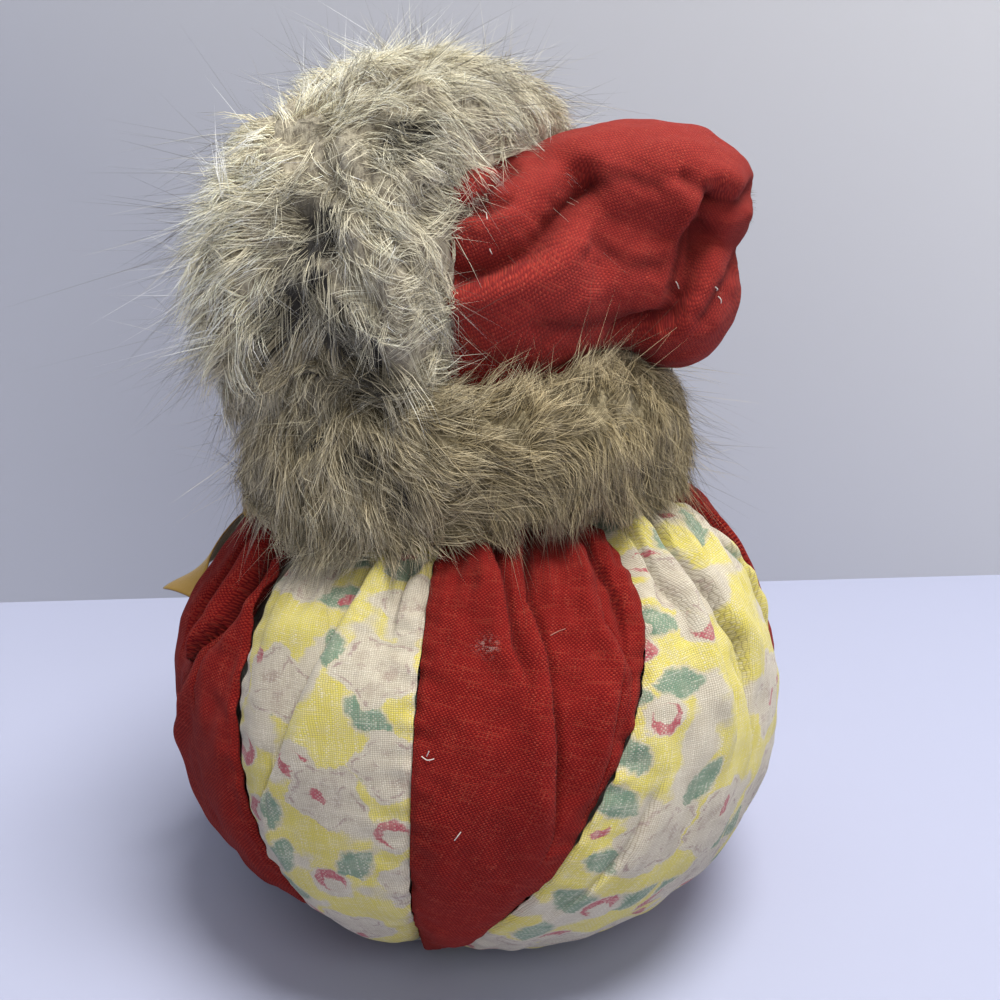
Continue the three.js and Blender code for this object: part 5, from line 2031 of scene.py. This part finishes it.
def stage_material(name, color, one_sided=False, painted_light_color=None):
    """Plain paper or paint, with painted light making it lighter higher up and to one side where a second
    colour is given.
    """
    material = bpy.data.materials.new(name)
    material.use_nodes = True
    tree = material.node_tree
    shader = tree.nodes["Principled BSDF"]
    shader.inputs["Roughness"].default_value = 0.9
    shader.inputs["Specular IOR Level"].default_value = 0.1
    place = object_place(tree)
    patchy = clouds(tree, place, 3.0, 2.0)
    darker = tuple(0.96 * part for part in color[:3]) + (1.0,)
    shade = blend_colors(tree, patchy, darker, color)
    if painted_light_color:
        # Painted light: the wall is lighter towards its top and one side.
        _, y, z = xyz(tree, place)
        across = calc(tree, "ADD", z, y)
        shade = blend_colors(tree, spread(tree, across, -0.04, 0.40, soft=False), shade, painted_light_color)
    feed(tree, shader.inputs["Base Color"], shade)
    if one_sided:
        behind = add_node(tree, "ShaderNodeNewGeometry").outputs["Backfacing"]
        clear = add_node(tree, "ShaderNodeBsdfTransparent")
        mix = add_node(tree, "ShaderNodeMixShader")
        feed(tree, mix.inputs[0], behind)
        feed(tree, mix.inputs[1], shader.outputs[0])
        feed(tree, mix.inputs[2], clear.outputs[0])
        feed(tree, tree.nodes["Material Output"].inputs[0], mix.outputs[0])
    return material


def stage_plane(name, size, matrix, material):
    bm = bmesh.new()
    bmesh.ops.create_grid(bm, x_segments=1, y_segments=1, size=size)
    bmesh.ops.transform(bm, matrix=matrix, verts=bm.verts[:])
    mesh = mesh_from(bm, name)
    mesh.materials.append(material)
    plane = new_object(name, mesh)


def area_lamp(name, place, size, power, color):
    lamp = bpy.data.lights.new(name, "AREA")
    lamp.shape = "DISK"
    lamp.size = size
    lamp.energy = power
    lamp.color = color
    holder = new_object(name, lamp)
    holder.location = place
    holder.rotation_mode = "QUATERNION"
    holder.rotation_quaternion = (Vector((0, 0, 0.08)) - Vector(place)).to_track_quat("-Z", "Y")


camera_azimuth = 120
camera_elevation = 20
camera_distance = 300 * mm
camera_aim = Vector((0, 0, 84 * mm))
camera_shift = 4.4 * mm
camera_lens = 54
camera_sensor = 36
wall_distance = 149 * mm
wall_turn = 4


def add_camera():
    azimuth, elevation = math.radians(camera_azimuth), math.radians(camera_elevation)
    flat = math.cos(elevation)
    back = Vector((math.sin(azimuth) * flat, -math.cos(azimuth) * flat, math.sin(elevation)))
    right = Vector((math.cos(azimuth), math.sin(azimuth), 0))
    data = bpy.data.cameras.new("camera")
    data.lens = camera_lens
    data.sensor_width = camera_sensor
    data.clip_start = 0.01
    data.clip_end = 10
    camera = new_object("camera", data)
    camera.location = camera_aim + right * camera_shift + back * camera_distance
    camera.rotation_mode = "QUATERNION"
    camera.rotation_quaternion = (-back).to_track_quat("-Z", "Y")
    bpy.context.scene.camera = camera


def add_stage():
    stage_plane("floor", 1.5, Matrix.Identity(4), stage_material("floor_paper", rgb(0.392, 0.412, 0.545)))
    azimuth = math.radians(camera_azimuth - 90 + wall_turn)
    toward = Vector((math.cos(azimuth), math.sin(azimuth), 0))
    turn = toward.to_track_quat("Z", "Y").to_matrix().to_4x4()
    matrix = Matrix.Translation(-toward * wall_distance) @ turn
    paint = stage_material("wall_paint", rgb(0.46, 0.475, 0.54), True, rgb(0.85, 0.845, 0.83))
    stage_plane("wall", 1.5, matrix, paint)
    world = bpy.data.worlds.new("room")
    world.use_nodes = True
    sky = world.node_tree.nodes["Background"]
    sky.inputs[0].default_value = rgb(0.95, 0.96, 1.0)
    sky.inputs[1].default_value = 0.22
    bpy.context.scene.world = world
    area_lamp("ceiling_lamp", (0.0, 0.45, 1.8), 0.9, 43.0, (1.0, 0.99, 0.95))
    area_lamp("window_lamp", (0.9, 0.9, 1.0), 1.0, 8.0, (1.0, 0.98, 0.93))
    bpy.context.scene.view_settings.view_transform = "Standard"


add_camera()
add_stage()
